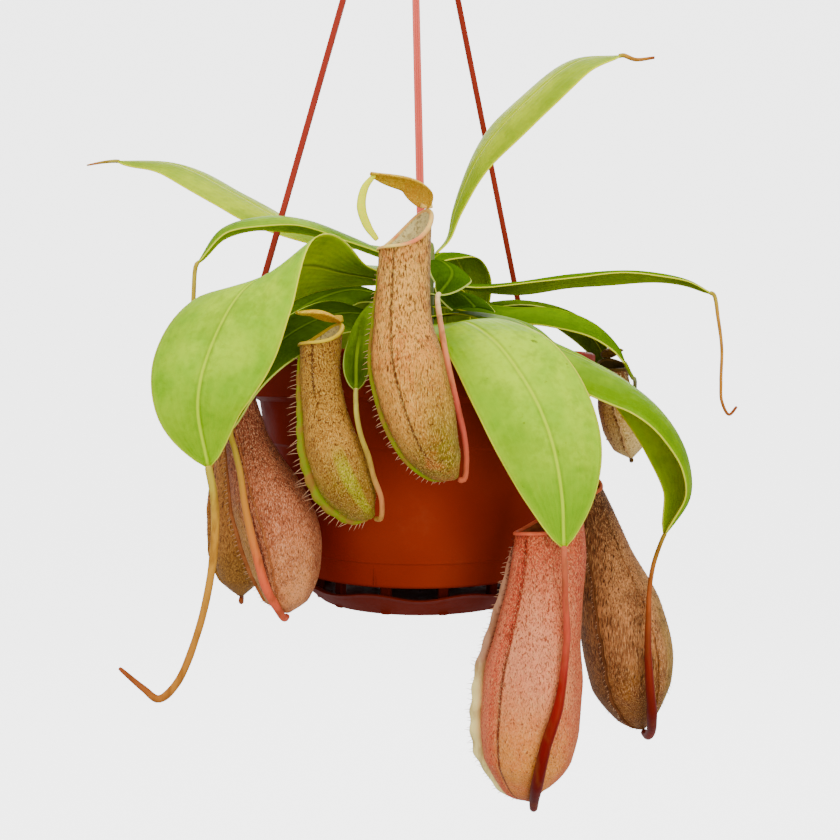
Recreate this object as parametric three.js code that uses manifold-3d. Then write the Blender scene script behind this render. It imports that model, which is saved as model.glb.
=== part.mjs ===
// A pitcher plant in a hanging pot, in millimetres, +Z up, with its front towards -Y.
// A rosette of strap leaves stands on one stem. A leaf's tip runs on as a tendril, which hangs down
// and turns up into a hollow pitcher with a rolled lip and a lid. The round plastic pot has a clip-on
// saucer and three lugs on its rim. Three ball-ended rods carry it from a hook.
// The origin is the inner crown of the hook. Pot and plant are drawn with z = 0 at the top of the rim.

import * as THREE from 'three';
import { mergeVertices } from 'three/addons/utils/BufferGeometryUtils.js';
import Module from 'manifold-3d';

const wasm = await Module();
wasm.setup();

// Driving dimensions
const GAP = 0.3;
const RIM_BELOW_HOOK = 272;
const ROUND_SIDES = 36;

const RIM_RADIUS = 75;
const RIM_HEIGHT = 18;
const RIM_WALL = 2.2;
const POT_HEIGHT = 92;
const POT_FOOT_RADIUS = 53;
const POT_SHOULDER_RADIUS = 69;
const POT_STEP_DEPTH = 37;
const POT_FLOOR = 2.5;
const POT_CHAMFER = 1;
const MOULDED_LINE_HEIGHT = 10;
const MOULDED_LINE_DEPTH = 0.8;
const STEP_WIDTH = 1.5;
const DRAIN_HOLES = 6;
const DRAIN_HOLE_RADIUS = 3.5;
const DRAIN_CIRCLE = 34;

const SAUCER_LIP_RADIUS = 55;
const SAUCER_FOOT_RADIUS = 42;
const SAUCER_LIP_HEIGHT = 9.5;
const SAUCER_FOOT_Z = -105;
const SAUCER_WALL = 1.6;
const SAUCER_WAVES = 9;
const SAUCER_WAVE = 0.9;
const PEGS = 12;
const PEG_WIDTH = 4;
const PEG_DEPTH = 3;

const SOIL_TOP = -10;
const SOIL_CLEARANCE = 1.6;
const SOIL_RADIUS = RIM_RADIUS - RIM_WALL - SOIL_CLEARANCE;
const SOIL_HUMP = 1.5;

const LUG_ANGLES = { front: 271, right: 46, left: 180 };
const LUG_CIRCLE = 78;
const LUG_THICKNESS = 4;
const LUG_DROP = 1;
const LUG_LENGTH = 10;
const LUG_WIDTH = 13;
const ROD_MEETING_POINT = [-4, 0, 251];
const ROD_WIDTH = 3;
const ROD_BALL_RADIUS = 2.9;
const ROD_HOLE_RADIUS = 2.4;
const HUB_Z = 222;
const HUB_RADIUS = 13.5;
const HUB_THICKNESS = 4;
const HOOK_INNER_RADIUS = 11;
const HOOK_WIRE_RADIUS = 2.2;
const HOOK_SHANK = 14;
const HOOK_OPEN_END = 210;

const STEM_FOOT = [2, 3, -34];
const STEM_TOP = [3, 4, 49];
const STEM_RADIUS = 3.6;

const BLADE_THICKNESS = 0.8;
const PETIOLE_HALF_WIDTH = 2;
const TIP_HALF_WIDTH = 0.9;
const LEAF_TENDRIL_RADIUS = 0.8;
const TENDRIL_LEAD = 1.5;
const CUP_WALL = 1;
const LIP_ROLL = 0.9;
const LIP_HEIGHT = 1.5;
const LID_THICKNESS = 0.9;
const LID_WIDEST = 0.45;

// Materials
const paint = (color, roughness) => new THREE.MeshStandardMaterial({ color, roughness, metalness: 0 });
const POT_PLASTIC = paint(0x9c3a1d, 0.35);
const ROD_PLASTIC = paint(0xa8402c, 0.45);
const SOIL = paint(0x3a281c, 0.95);
const STEM_GREEN = paint(0x6f8a2c, 0.6);
const LEAF_GREEN = paint(0x6c9c22, 0.4);
const LEAF_LIME = paint(0xa8c432, 0.4);
const LEAF_DARK = paint(0x3f6112, 0.4);
const TENDRIL_TAN = paint(0xb98a48, 0.5);
const TENDRIL_RED = paint(0xb04a35, 0.5);
const PITCHER_TAN = paint(0xb98046, 0.5);
const PITCHER_BROWN = paint(0x8d5638, 0.55);
const PITCHER_PINK = paint(0xc87a5e, 0.5);
const LID_YELLOW = paint(0xc9ac3e, 0.5);

// Shared helpers
const vector = ([x, y, z]) => new THREE.Vector3(x, y, z);
const radians = THREE.MathUtils.degToRad;
const mix = THREE.MathUtils.lerp;

function onCircle(radius, degrees, z) {
  return new THREE.Vector3(radius * Math.cos(radians(degrees)), radius * Math.sin(radians(degrees)), z);
}

function toSolid(geometry) {
  const bare = geometry.clone();
  bare.deleteAttribute('normal');
  bare.deleteAttribute('uv');
  const merged = mergeVertices(bare, 1e-3);
  const vertProperties = merged.attributes.position.array;
  const triVerts = new Uint32Array(merged.index.array);
  return new wasm.Manifold(new wasm.Mesh({ numProp: 3, vertProperties, triVerts }));
}

function toGeometry(solid) {
  const { vertProperties, triVerts } = solid.getMesh();
  const geometry = new THREE.BufferGeometry();
  geometry.setAttribute('position', new THREE.BufferAttribute(vertProperties, 3));
  geometry.setIndex(new THREE.BufferAttribute(triVerts, 1));
  geometry.computeVertexNormals();
  return geometry;
}

function joined(...geometries) {
  return toGeometry(geometries.map(toSolid).reduce((whole, piece) => whole.add(piece)));
}

function fromFaces(points, faces) {
  const geometry = new THREE.BufferGeometry().setFromPoints(points);
  geometry.setIndex(faces);
  geometry.computeVertexNormals();
  return geometry;
}

// A closed skin through rings of points, each fanned shut at its middle at the two ends.
function loft(rings) {
  const count = rings[0].length;
  const points = rings.flat();
  const middle = (ring) => ring.reduce((sum, p) => sum.add(p), new THREE.Vector3()).divideScalar(count);
  const first = points.push(middle(rings[0])) - 1;
  const last = points.push(middle(rings.at(-1))) - 1;
  const top = (rings.length - 1) * count;
  const faces = [];
  for (let i = 0; i < count; i++) {
    const j = (i + 1) % count;
    for (let row = 0; row < top; row += count) {
      faces.push(row + i, row + j, row + count + j, row + i, row + count + j, row + count + i);
    }
    faces.push(first, j, i, last, top + i, top + j);
  }
  return fromFaces(points, faces);
}

function ngon(radius, sides) {
  const corners = [];
  for (let i = 0; i < sides; i++) {
    const angle = (2 * Math.PI * i) / sides;
    corners.push(new THREE.Vector2(radius * Math.cos(angle), radius * Math.sin(angle)));
  }
  return new THREE.Shape(corners);
}

function tube(points, radius, sides, steps) {
  const extrudePath = new THREE.CatmullRomCurve3(points);
  return new THREE.ExtrudeGeometry(ngon(radius, sides), { extrudePath, steps, bevelEnabled: false });
}

// A profile of [radius, z] corners turned round the Z axis.
function turned(profile, sides) {
  const corners = profile.map(([radius, z]) => new THREE.Vector2(radius, z));
  return new THREE.LatheGeometry(corners, sides).rotateX(Math.PI / 2);
}

// A cylinder from one point to another.
function bar(from, to, radius, sides) {
  const along = to.clone().sub(from);
  const geometry = new THREE.CylinderGeometry(radius, radius, along.length(), sides);
  const up = new THREE.Vector3(0, 1, 0);
  geometry.applyQuaternion(new THREE.Quaternion().setFromUnitVectors(up, along.clone().normalize()));
  return geometry.translate(...from.clone().add(to).multiplyScalar(0.5));
}

const part = new THREE.Group();
const plant = new THREE.Group();
plant.position.z = -RIM_BELOW_HOOK;
part.add(plant);

function place(group, name, geometry, material) {
  const mesh = new THREE.Mesh(geometry, material);
  mesh.name = name;
  group.add(mesh);
}

// The rods run straight from the hub to the lugs, on lines that would meet above the hub
const meeting = vector(ROD_MEETING_POINT);
const rods = Object.entries(LUG_ANGLES).map(([side, angle]) => {
  const lug = onCircle(LUG_CIRCLE, angle, -LUG_THICKNESS / 2 - LUG_DROP);
  const up = meeting.clone().sub(lug).normalize();
  const atHeight = (z) => lug.clone().addScaledVector(up, (z - lug.z) / up.z);
  return { side, angle, lug, atHeight };
});

function rodHole(rod, z) {
  const from = rod.atHeight(z - LUG_THICKNESS);
  const to = rod.atHeight(z + LUG_THICKNESS);
  return toSolid(bar(from, to, ROD_HOLE_RADIUS, 10));
}

// Pot: a rim band, a shoulder below it, a step, and a tapering body with a moulded line near its foot
function potShell() {
  const inner = (radius) => radius - RIM_WALL;
  const foot = -POT_HEIGHT;
  const line = foot + MOULDED_LINE_HEIGHT;
  const lineRadius = POT_FOOT_RADIUS + POT_CHAMFER;
  const stepRadius = POT_SHOULDER_RADIUS - 2 * STEP_WIDTH;
  return turned(
    [
      [0, foot],
      [POT_FOOT_RADIUS - POT_CHAMFER, foot],
      [POT_FOOT_RADIUS, foot + POT_CHAMFER],
      [lineRadius, line - MOULDED_LINE_DEPTH / 2],
      [lineRadius + MOULDED_LINE_DEPTH, line],
      [lineRadius + MOULDED_LINE_DEPTH, line + POT_CHAMFER],
      [stepRadius - STEP_WIDTH / 2, -POT_STEP_DEPTH - POT_CHAMFER],
      [stepRadius + STEP_WIDTH / 3, -POT_STEP_DEPTH],
      [POT_SHOULDER_RADIUS, -RIM_HEIGHT - POT_CHAMFER],
      [RIM_RADIUS - POT_CHAMFER / 2, -RIM_HEIGHT],
      [RIM_RADIUS, -POT_CHAMFER],
      [RIM_RADIUS - POT_CHAMFER, 0],
      [inner(RIM_RADIUS), 0],
      [inner(RIM_RADIUS), -RIM_HEIGHT],
      [inner(POT_SHOULDER_RADIUS), -RIM_HEIGHT - RIM_WALL - POT_CHAMFER],
      [inner(stepRadius), -POT_STEP_DEPTH],
      [inner(POT_FOOT_RADIUS), foot + POT_FLOOR],
      [0, foot + POT_FLOOR],
    ],
    ROUND_SIDES,
  );
}

function lugTab(rod) {
  const tab = new THREE.BoxGeometry(LUG_LENGTH, LUG_WIDTH, LUG_THICKNESS);
  tab.translate(LUG_CIRCLE + LUG_DROP - POT_CHAMFER * 2, 0, rod.lug.z);
  return tab.rotateZ(radians(rod.angle));
}

function pot() {
  let body = toSolid(potShell());
  for (const rod of rods) {
    body = body.add(toSolid(lugTab(rod))).subtract(rodHole(rod, rod.lug.z));
  }
  for (let i = 0; i < DRAIN_HOLES; i++) {
    const middle = onCircle(DRAIN_CIRCLE, (360 * i) / DRAIN_HOLES, -POT_HEIGHT);
    const reach = new THREE.Vector3(0, 0, 2 * POT_FLOOR);
    const hole = bar(middle.clone().sub(reach), middle.clone().add(reach), DRAIN_HOLE_RADIUS, 10);
    body = body.subtract(toSolid(hole));
  }
  return toGeometry(body);
}
place(plant, 'pot', pot(), POT_PLASTIC);

// Saucer: a shallow dish whose lip waves in and out, with pegs that reach up to the pot's foot
function saucer() {
  const lipZ = SAUCER_FOOT_Z + SAUCER_LIP_HEIGHT;
  const wave = (degrees) => SAUCER_WAVE * Math.sin(radians(SAUCER_WAVES * degrees));
  const lipStart = SAUCER_LIP_RADIUS - 2 * SAUCER_WALL;
  const profile = [
    [SAUCER_FOOT_RADIUS - SAUCER_WALL, SAUCER_FOOT_Z, 0],
    [SAUCER_FOOT_RADIUS + SAUCER_WALL, SAUCER_FOOT_Z + SAUCER_WALL / 2, 0],
    [lipStart, lipZ - SAUCER_WALL, 1],
    [SAUCER_LIP_RADIUS, lipZ, 1],
    [SAUCER_LIP_RADIUS - SAUCER_WALL, lipZ + SAUCER_WALL / 4, 1],
    [lipStart - SAUCER_WALL, lipZ - SAUCER_WALL / 2, 1],
    [SAUCER_FOOT_RADIUS + SAUCER_WALL / 2, SAUCER_FOOT_Z + 2 * SAUCER_WALL, 0],
    [SAUCER_FOOT_RADIUS - 2 * SAUCER_WALL, SAUCER_FOOT_Z + SAUCER_WALL, 0],
  ];
  const rings = profile.map(([radius, z, share]) => {
    const ring = [];
    for (let i = 0; i < ROUND_SIDES; i++) {
      const angle = (360 * i) / ROUND_SIDES;
      ring.push(onCircle(radius, angle, z + share * wave(angle)));
    }
    return ring;
  });
  let dish = toSolid(loft(rings));
  const pegFoot = SAUCER_FOOT_Z + SAUCER_WALL / 2;
  const pegHeight = -POT_HEIGHT - GAP - pegFoot;
  for (let i = 0; i < PEGS; i++) {
    const peg = new THREE.BoxGeometry(PEG_DEPTH, PEG_WIDTH, pegHeight);
    peg.translate(SAUCER_FOOT_RADIUS + PEG_DEPTH / 2, 0, pegFoot + pegHeight / 2);
    peg.rotateZ(radians((360 * (i + 0.4)) / PEGS));
    dish = dish.add(toSolid(peg));
  }
  return toGeometry(dish);
}
place(plant, 'saucer', saucer(), POT_PLASTIC);

// Stem and soil: the stem stands in a plain hole
const stemFoot = vector(STEM_FOOT);
const stemTop = vector(STEM_TOP);
place(plant, 'stem', bar(stemFoot, stemTop, STEM_RADIUS, 9), STEM_GREEN);

function soil() {
  const floor = -POT_HEIGHT + POT_FLOOR + GAP;
  const inside = (radius) => radius - RIM_WALL - SOIL_CLEARANCE;
  const heap = turned(
    [
      [0, floor],
      [inside(POT_FOOT_RADIUS), floor],
      [inside(POT_SHOULDER_RADIUS) - 2 * STEP_WIDTH, -POT_STEP_DEPTH - POT_CHAMFER],
      [inside(POT_SHOULDER_RADIUS), -RIM_HEIGHT - RIM_WALL - 2 * POT_CHAMFER],
      [SOIL_RADIUS - POT_CHAMFER, -RIM_HEIGHT + SOIL_HUMP],
      [SOIL_RADIUS, SOIL_TOP - SOIL_HUMP],
      [SOIL_RADIUS * 0.75, SOIL_TOP + SOIL_HUMP],
      [SOIL_RADIUS * 0.4, SOIL_TOP],
      [0, SOIL_TOP + SOIL_HUMP],
    ],
    24,
  );
  const above = stemTop.clone();
  const below = stemFoot.clone().addScaledVector(stemTop.clone().sub(stemFoot).normalize(), -GAP);
  return toGeometry(toSolid(heap).subtract(toSolid(bar(below, above, STEM_RADIUS + 2 * GAP, 12))));
}
place(plant, 'soil', soil(), SOIL);

// Rods: a grooved section between two balls, through the hub above and a lug below
function grooved(width) {
  const half = width / 2;
  const deep = half * 0.8;
  const groove = half * 0.35;
  const quarter = [
    [half, groove * 0.5],
    [half, deep],
    [groove, deep],
    [groove * 0.5, deep - groove],
  ];
  const mirrored = (sx, sy) => quarter.map(([x, y]) => new THREE.Vector2(sx * x, sy * y));
  return new THREE.Shape([
    ...mirrored(1, 1),
    ...mirrored(-1, 1).reverse(),
    ...mirrored(-1, -1),
    ...mirrored(1, -1).reverse(),
  ]);
}

const hubTop = HUB_Z + HUB_THICKNESS / 2;
for (const rod of rods) {
  const top = rod.atHeight(hubTop + GAP + ROD_BALL_RADIUS);
  const bottom = rod.atHeight(rod.lug.z - LUG_THICKNESS / 2 - GAP - ROD_BALL_RADIUS);
  const extrudePath = new THREE.LineCurve3(bottom, top);
  const straight = { extrudePath, steps: 1, bevelEnabled: false };
  const shaft = new THREE.ExtrudeGeometry(grooved(ROD_WIDTH), straight);
  const ball = (at) => new THREE.SphereGeometry(ROD_BALL_RADIUS, 10, 7).translate(...at);
  place(plant, `rod_${rod.side}`, joined(shaft, ball(top), ball(bottom)), ROD_PLASTIC);
}

// Hook: a hub disc with a hole for each rod, and a round wire hook on it
function hook() {
  const hubMiddle = new THREE.Vector3(meeting.x, meeting.y, HUB_Z);
  const half = new THREE.Vector3(0, 0, HUB_THICKNESS / 2);
  let body = toSolid(bar(hubMiddle.clone().sub(half), hubMiddle.clone().add(half), HUB_RADIUS, 20));
  for (const rod of rods) {
    body = body.subtract(rodHole(rod, HUB_Z));
  }
  const wireCircle = HOOK_INNER_RADIUS + HOOK_WIRE_RADIUS;
  const crownZ = RIM_BELOW_HOOK + HOOK_WIRE_RADIUS;
  const centreZ = crownZ - wireCircle;
  const path = [
    new THREE.Vector3(meeting.x, 0, HUB_Z),
    new THREE.Vector3(meeting.x, 0, HUB_Z + HOOK_SHANK),
    new THREE.Vector3(wireCircle * 0.7, 0, centreZ - wireCircle * 0.95),
  ];
  for (let angle = 0; angle <= HOOK_OPEN_END; angle += 30) {
    const x = wireCircle * Math.cos(radians(angle));
    path.push(new THREE.Vector3(x, 0, centreZ + wireCircle * Math.sin(radians(angle))));
  }
  return toGeometry(body.add(toSolid(tube(path, HOOK_WIRE_RADIUS, 8, 22))));
}
place(plant, 'hook', hook(), ROD_PLASTIC);

// Leaves
// A leaf is a thin arched strip. It leaves the stem at the height base, and its spine runs from there
// to the tip. Its faces are the ways that the upper side looks, from base to tip. It is widest at one
// share of its length, and curl is how far the margins bend down from the midrib at its base and at
// its tip, in radians.
function along(values, share) {
  return new THREE.CatmullRomCurve3(values.map(vector)).getPoint(share);
}

function bladeFrame(spine, faces, share) {
  const heading = spine.getTangentAt(share).normalize();
  const face = along(faces, share);
  face.addScaledVector(heading, -face.dot(heading)).normalize();
  const side = heading.clone().cross(face).normalize();
  return { centre: spine.getPointAt(share), heading, face, side };
}

function halfWidthAt({ width, widest, cut = 1 }, share) {
  const bulge = Math.log(0.5) / Math.log(widest);
  const swell = Math.pow(Math.sin(Math.PI * Math.pow(share * cut, bulge)), 0.8);
  return mix(mix(PETIOLE_HALF_WIDTH, TIP_HALF_WIDTH, share), width / 2, Math.max(swell, 0));
}

// The point beside the stem, at one height, that looks towards another point.
function beside(height, towards) {
  const axis = stemFoot.clone().lerp(stemTop, (height - stemFoot.z) / (stemTop.z - stemFoot.z));
  const out = towards.clone().sub(axis).setZ(0).normalize();
  return axis.addScaledVector(out, STEM_RADIUS + GAP);
}

function spineOf(leaf) {
  const points = leaf.spine.map(vector);
  if (leaf.base !== undefined) {
    points.unshift(beside(leaf.base, points[0]));
  }
  return new THREE.CatmullRomCurve3(points);
}

function blade(leaf) {
  const { curl, rows = 11, columns = 4, thickness = BLADE_THICKNESS } = leaf;
  const spine = spineOf(leaf);
  const upper = [];
  const lower = [];
  for (let row = 0; row <= rows; row++) {
    const share = row / rows;
    const { centre, face, side } = bladeFrame(spine, leaf.faces, share);
    const half = halfWidthAt(leaf, share);
    const bow = mix(curl[0], curl[1], share);
    for (let column = 0; column <= columns; column++) {
      const bend = bow * ((2 * column) / columns - 1);
      const point = centre.clone();
      point.addScaledVector(side, (half * Math.sin(bend)) / bow);
      point.addScaledVector(face, (-half * (1 - Math.cos(bend))) / bow);
      const out = face.clone().multiplyScalar(Math.cos(bend)).addScaledVector(side, Math.sin(bend));
      upper.push(point.clone().addScaledVector(out, thickness / 2));
      lower.push(point.clone().addScaledVector(out, -thickness / 2));
    }
  }
  return fromFaces([...upper, ...lower], slabFaces(rows, columns));
}

// Faces of a thin slab of rows by columns, split into triangles alike above and below.
function slabFaces(rows, columns) {
  const width = columns + 1;
  const below = (rows + 1) * width;
  const faces = [];
  const quad = (a, b, c, d) => faces.push(a, b, c, a, c, d);
  for (let row = 0; row < rows; row++) {
    for (let column = 0; column < columns; column++) {
      const a = row * width + column;
      const b = a + 1;
      const c = b + width;
      const d = a + width;
      faces.push(a, b, c, a, c, d);
      faces.push(below + a, below + c, below + b, below + a, below + d, below + c);
    }
    const left = row * width;
    const right = left + columns;
    quad(left, left + width, below + left + width, below + left);
    quad(right, below + right, below + right + width, right + width);
  }
  for (let column = 0; column < columns; column++) {
    const end = rows * width + column;
    quad(column, below + column, below + column + 1, column + 1);
    quad(end, end + 1, below + end + 1, below + end);
  }
  return faces;
}

function tipOf(leaf) {
  const spine = spineOf(leaf);
  return { point: spine.getPoint(1), heading: spine.getTangent(1).normalize() };
}

const up = [0, 0, 1];

const leaves = {
  lime_left: {
    base: 44,
    spine: [
      [-14, 9, 47], [-33, 14, 50.5], [-59, 22, 59.5], [-86, 32, 75],
      [-116, 42, 90.5], [-145, 50, 94],
    ],
    faces: [up, [0.3, -0.45, 1], [0.3, -0.45, 1], [0.1, -0.5, 1]],
    width: 30, widest: 0.6, curl: [0.5, 0.5], material: LEAF_LIME,
  },
  arching_left: {
    base: 38,
    spine: [
      [-14, -3, 43], [-30, -8, 49.5], [-48, -16, 55], [-64, -24, 55],
      [-80, -30, 49], [-88.5, -34, 35.5],
    ],
    faces: [up, [0, -0.1, 1], [-0.1, -0.1, 1], [-0.8, -0.1, 0.8]],
    width: 27, widest: 0.6, curl: [0.7, 0.7], material: LEAF_DARK,
  },
  broad_left: {
    base: 31,
    spine: [
      [-12, -11, 31], [-30, -28, 32], [-46, -52, 32], [-63, -70, 22], [-74, -80, 0],
      [-77.5, -86, -20], [-74, -86, -42],
    ],
    faces: [up, [0, 0.5, 0.9], [-0.7, 0.4, 0.8], [-0.6, -0.9, 0.5], [-0.2, -1, 0.2], [0, -1, 0]],
    width: 50, widest: 0.66, curl: [0.3, 0.3], rows: 14, material: LEAF_GREEN,
  },
  front_left: {
    base: 14,
    spine: [
      [-14, -12, 15], [-32, -34, 15], [-47, -56, 7], [-58, -67, -4],
      [-65, -73, -16], [-68, -75, -29],
    ],
    faces: [up, [0.1, -0.75, 0.8], [-0.3, -0.65, 0.8], [-0.6, -0.8, 0.3]],
    width: 28, widest: 0.55, curl: [0.2, 0.3], material: LEAF_DARK,
  },
  low_left: {
    base: 22,
    spine: [[-14, -5, 24.5], [-29, -7, 27], [-44, -13, 22], [-58, -25, 11], [-68, -33, 1]],
    faces: [up, [0, -0.75, 0.8], [-0.4, -0.8, 0.7]],
    width: 21, widest: 0.55, curl: [0.5, 0.5], material: LEAF_DARK,
  },
  lime_right: {
    base: 44,
    spine: [
      [12, 3, 50], [15.5, 1, 62], [26, -4, 85], [46, -8, 107], [66, -12, 121.5],
      [83.5, -12, 124],
    ],
    faces: [[-1, -0.3, 0.5], [-0.7, -0.5, 0.6], [-0.6, -0.5, 0.7], [-0.2, -0.5, 1]],
    width: 36, widest: 0.66, curl: [0.3, 0.35], material: LEAF_LIME,
  },
  long_right: {
    base: 33,
    spine: [
      [20, 0, 30], [39, -2, 30], [66, -4, 33.5], [94, -6, 34.5], [113, -8, 31],
      [123, -10, 25.5],
    ],
    faces: [up, [0, 0.1, 1], [0, 0.1, 1], [0.5, 0, 0.9]],
    width: 26, widest: 0.5, curl: [0.5, 0.5], material: LEAF_GREEN,
  },
  curling_right: {
    base: 21,
    spine: [
      [20, -5, 21.5], [38, -13, 19], [56, -22, 17.5], [71, -28, 11], [80, -30, 2],
      [83, -30, -4.5],
    ],
    faces: [up, [0, -0.25, 1], [0.3, -0.35, 1], [1, -0.2, 0.3]],
    width: 23, widest: 0.55, curl: [0.9, 1.2], material: LEAF_GREEN,
  },
  back_right: {
    base: 16,
    spine: [[20, 13, 21], [45, 24, 25], [68, 33, 20], [85, 39, 5], [91, 42, -14]],
    faces: [up, up, [0.4, 0.2, 1], [0.9, 0.4, 0.2]],
    width: 30, widest: 0.55, curl: [0.5, 0.5], material: LEAF_DARK,
    tendril: [[92, 43, -32], [90, 46, -40]],
  },
  broad_front: {
    base: 8,
    spine: [
      [6, -20, 11], [10, -44, 10], [17.5, -64, 9.5], [27, -80, 1.5], [35, -88, -10],
      [40.5, -93, -20.5], [45, -97, -34], [47.8, -99, -51], [48.5, -99.5, -68],
    ],
    faces: [up, [0, -0.3, 1], [0.1, -0.8, 0.6], [0.15, -1, 0.3], [0.1, -1, 0.1]],
    width: 41, widest: 0.68, curl: [0.15, 0.35], rows: 14, material: LEAF_GREEN,
  },
  arching_front: {
    base: 16,
    spine: [
      [18, -18, 17], [31, -37, 14], [39, -53, 9.9], [47.5, -65.3, 2],
      [61, -69, -4.5], [77, -68, -13], [89.5, -66, -24.5], [97.5, -62, -38], [100.5, -58, -55],
      [93, -57, -70],
    ],
    faces: [up, [0.2, -0.3, 1], [0.4, -0.55, 0.8], [0.75, -0.15, 0.6], [0.95, 0.3, 0.2], [0.85, 0.4, -0.3]],
    width: 37, widest: 0.64, curl: [0.2, 1.5], rows: 14, material: LEAF_GREEN,
  },
  small_front: {
    base: 18,
    spine: [
      [-4, -16, 19], [-14, -42, 20], [-20, -66, 12], [-22.3, -80, -2],
      [-22.5, -84, -15],
    ],
    faces: [up, [0, -0.2, 1], [0, -0.9, 0.5], [0, -1, 0.1]],
    width: 10, widest: 0.9, curl: [0.4, 0.4], rows: 9, material: LEAF_DARK,
  },
  back_dark: {
    base: 40,
    spine: [[9, 24, 46], [16, 46, 49], [22, 70, 43], [26, 92, 24], [28, 102, 2]],
    faces: [up, [0, -0.1, 1], [0.1, 0.4, 1], [0.2, 1, 0.2]],
    width: 29, widest: 0.5, curl: [0.4, 0.4], material: LEAF_DARK,
    tendril: [[28, 104, -16], [25, 102, -24]],
  },
  folded_front: {
    base: 37,
    spine: [[7, -16, 38.5], [12, -38, 32.5], [11.5, -56, 26.5], [7, -66, 20]],
    faces: [up, up, [0.1, -0.2, 1], [0, -0.9, 0.5]],
    width: 17, widest: 0.62, curl: [0.6, 0.6], rows: 9, material: LEAF_GREEN,
  },
  trimmed_front: {
    base: 26,
    spine: [[12, -16, 25.5], [17, -33, 22.5], [21, -46, 17]],
    faces: [up, [0.1, -0.5, 1], [0.3, -0.9, 0.5]],
    width: 20, widest: 0.6, cut: 0.72, curl: [0.4, 0.4], rows: 7, material: LEAF_DARK,
  },
  back_left: {
    base: 31,
    spine: [
      [-14, 26, 40], [-34, 52, 43], [-56, 78, 34], [-70, 96, 14], [-76, 103, -8],
    ],
    faces: [up, up, [-0.2, 0.3, 1], [-0.7, 0.8, 0.2]],
    width: 32, widest: 0.55, curl: [0.5, 0.5], material: LEAF_GREEN,
    tendril: [[-77, 104, -26], [-74, 102, -36]],
  },
  back_middle: {
    base: 30,
    spine: [[4, 30, 31], [9, 50, 33], [12, 67, 28], [13.5, 82, 12], [13.5, 87, -8]],
    faces: [up, [0, 0.1, 1], [0, 0.8, 0.7], [0, 1, 0.1]],
    width: 27, widest: 0.6, curl: [0.3, 0.3], material: LEAF_DARK,
    tendril: [[13, 89, -26], [15, 88, -34]],
  },
  back_long: {
    base: 22,
    spine: [[-6, 31, 27], [-20, 58, 30], [-31, 82, 22], [-37, 97, 2], [-38, 101, -20]],
    faces: [up, [0, 0.1, 1], [-0.2, 0.7, 0.8], [-0.2, 1, 0.1]],
    width: 33, widest: 0.6, curl: [0.4, 0.4], material: LEAF_DARK,
    tendril: [[-38.5, 103, -38], [-36, 101, -48]],
  },

};

for (const [name, leaf] of Object.entries(leaves)) {
  let geometry = blade(leaf);
  if (leaf.tendril) {
    const { point, heading } = tipOf(leaf);
    const inLeaf = point.clone().addScaledVector(heading, -2);
    const path = [inLeaf, point, ...leaf.tendril.map(vector)];
    geometry = joined(geometry, tube(path, LEAF_TENDRIL_RADIUS, 5, 7));
  }
  place(plant, `leaf_${name}`, geometry, leaf.material);
}

// Pitchers
// Stations run from the foot to the mouth, each with its place and radius. The neck, where the lid
// stands, is on the side that back points to. Two wings run down the far side from under the lip.
// A strap is a narrow lime strip that bows from the lid's tip back down to the lip.
const CUP_SIDES = 10;
const WING_ANGLE = 35;
const WING_HALF_ANGLE = 5;
const CUP_ROWS = 9;
const HOLLOW_ROWS = 4;
const HOLLOW_FROM = 0.3;
const HOLLOW_TO = 0.97;

function cupAngles() {
  const wings = [180 - WING_ANGLE, 180 + WING_ANGLE];
  const angles = wings.flatMap((wing) => [
    { angle: wing - WING_HALF_ANGLE, fin: 0 },
    { angle: wing, fin: 1 },
    { angle: wing + WING_HALF_ANGLE, fin: 0 },
  ]);
  for (let i = 0; i < CUP_SIDES; i++) {
    const angle = (360 * i) / CUP_SIDES;
    if (wings.every((wing) => Math.abs(wing - angle) > 2.5 * WING_HALF_ANGLE)) {
      angles.push({ angle, fin: 0 });
    }
  }
  return angles.sort((a, b) => a.angle - b.angle);
}
const CUP_ANGLES = cupAngles();

function cupFrame(pitcher, share) {
  const curve = new THREE.CatmullRomCurve3(pitcher.stations.map(vector));
  const middle = curve.getPoint(share);
  const heading = curve.getTangent(share).normalize();
  const radius = along(pitcher.stations.map(([, , , r]) => [r, 0, 0]), share).x;
  const back = vector(pitcher.back);
  back.addScaledVector(heading, -back.dot(heading)).normalize();
  return { middle, heading, radius, back, side: heading.clone().cross(back) };
}

// One ring of the cup. Rise lifts the back of the mouth up to the neck.
function cupRing(pitcher, share, grow, rise, fin) {
  const { middle, heading, radius, back, side } = cupFrame(pitcher, share);
  return CUP_ANGLES.map((corner) => {
    const turn = radians(corner.angle);
    const reach = radius + grow + fin * corner.fin;
    const lift = rise * Math.pow((1 + Math.cos(turn)) / 2, 2);
    const point = middle.clone().addScaledVector(back, reach * Math.cos(turn));
    return point.addScaledVector(side, reach * Math.sin(turn)).addScaledVector(heading, lift);
  });
}

function cup(pitcher) {
  const { rise, wing } = pitcher;
  const rings = [];
  for (let row = 0; row < CUP_ROWS; row++) {
    const share = row / (CUP_ROWS - 0.5);
    const fin = wing * Math.sin(Math.PI * Math.pow(share, 0.7));
    rings.push(cupRing(pitcher, share, 0, 0, fin));
  }
  rings.push(cupRing(pitcher, 1, 0, rise - LIP_HEIGHT / 2, 0));
  rings.push(cupRing(pitcher, 1, LIP_ROLL, rise, 0));
  rings.push(cupRing(pitcher, 1, -CUP_WALL, rise + LIP_HEIGHT / 2, 0));
  for (let row = HOLLOW_ROWS - 1; row >= 0; row--) {
    const share = mix(HOLLOW_FROM, HOLLOW_TO, row / (HOLLOW_ROWS - 1));
    rings.push(cupRing(pitcher, share, row ? -CUP_WALL : -2 * CUP_WALL, 0, 0));
  }
  return loft(rings);
}

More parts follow.
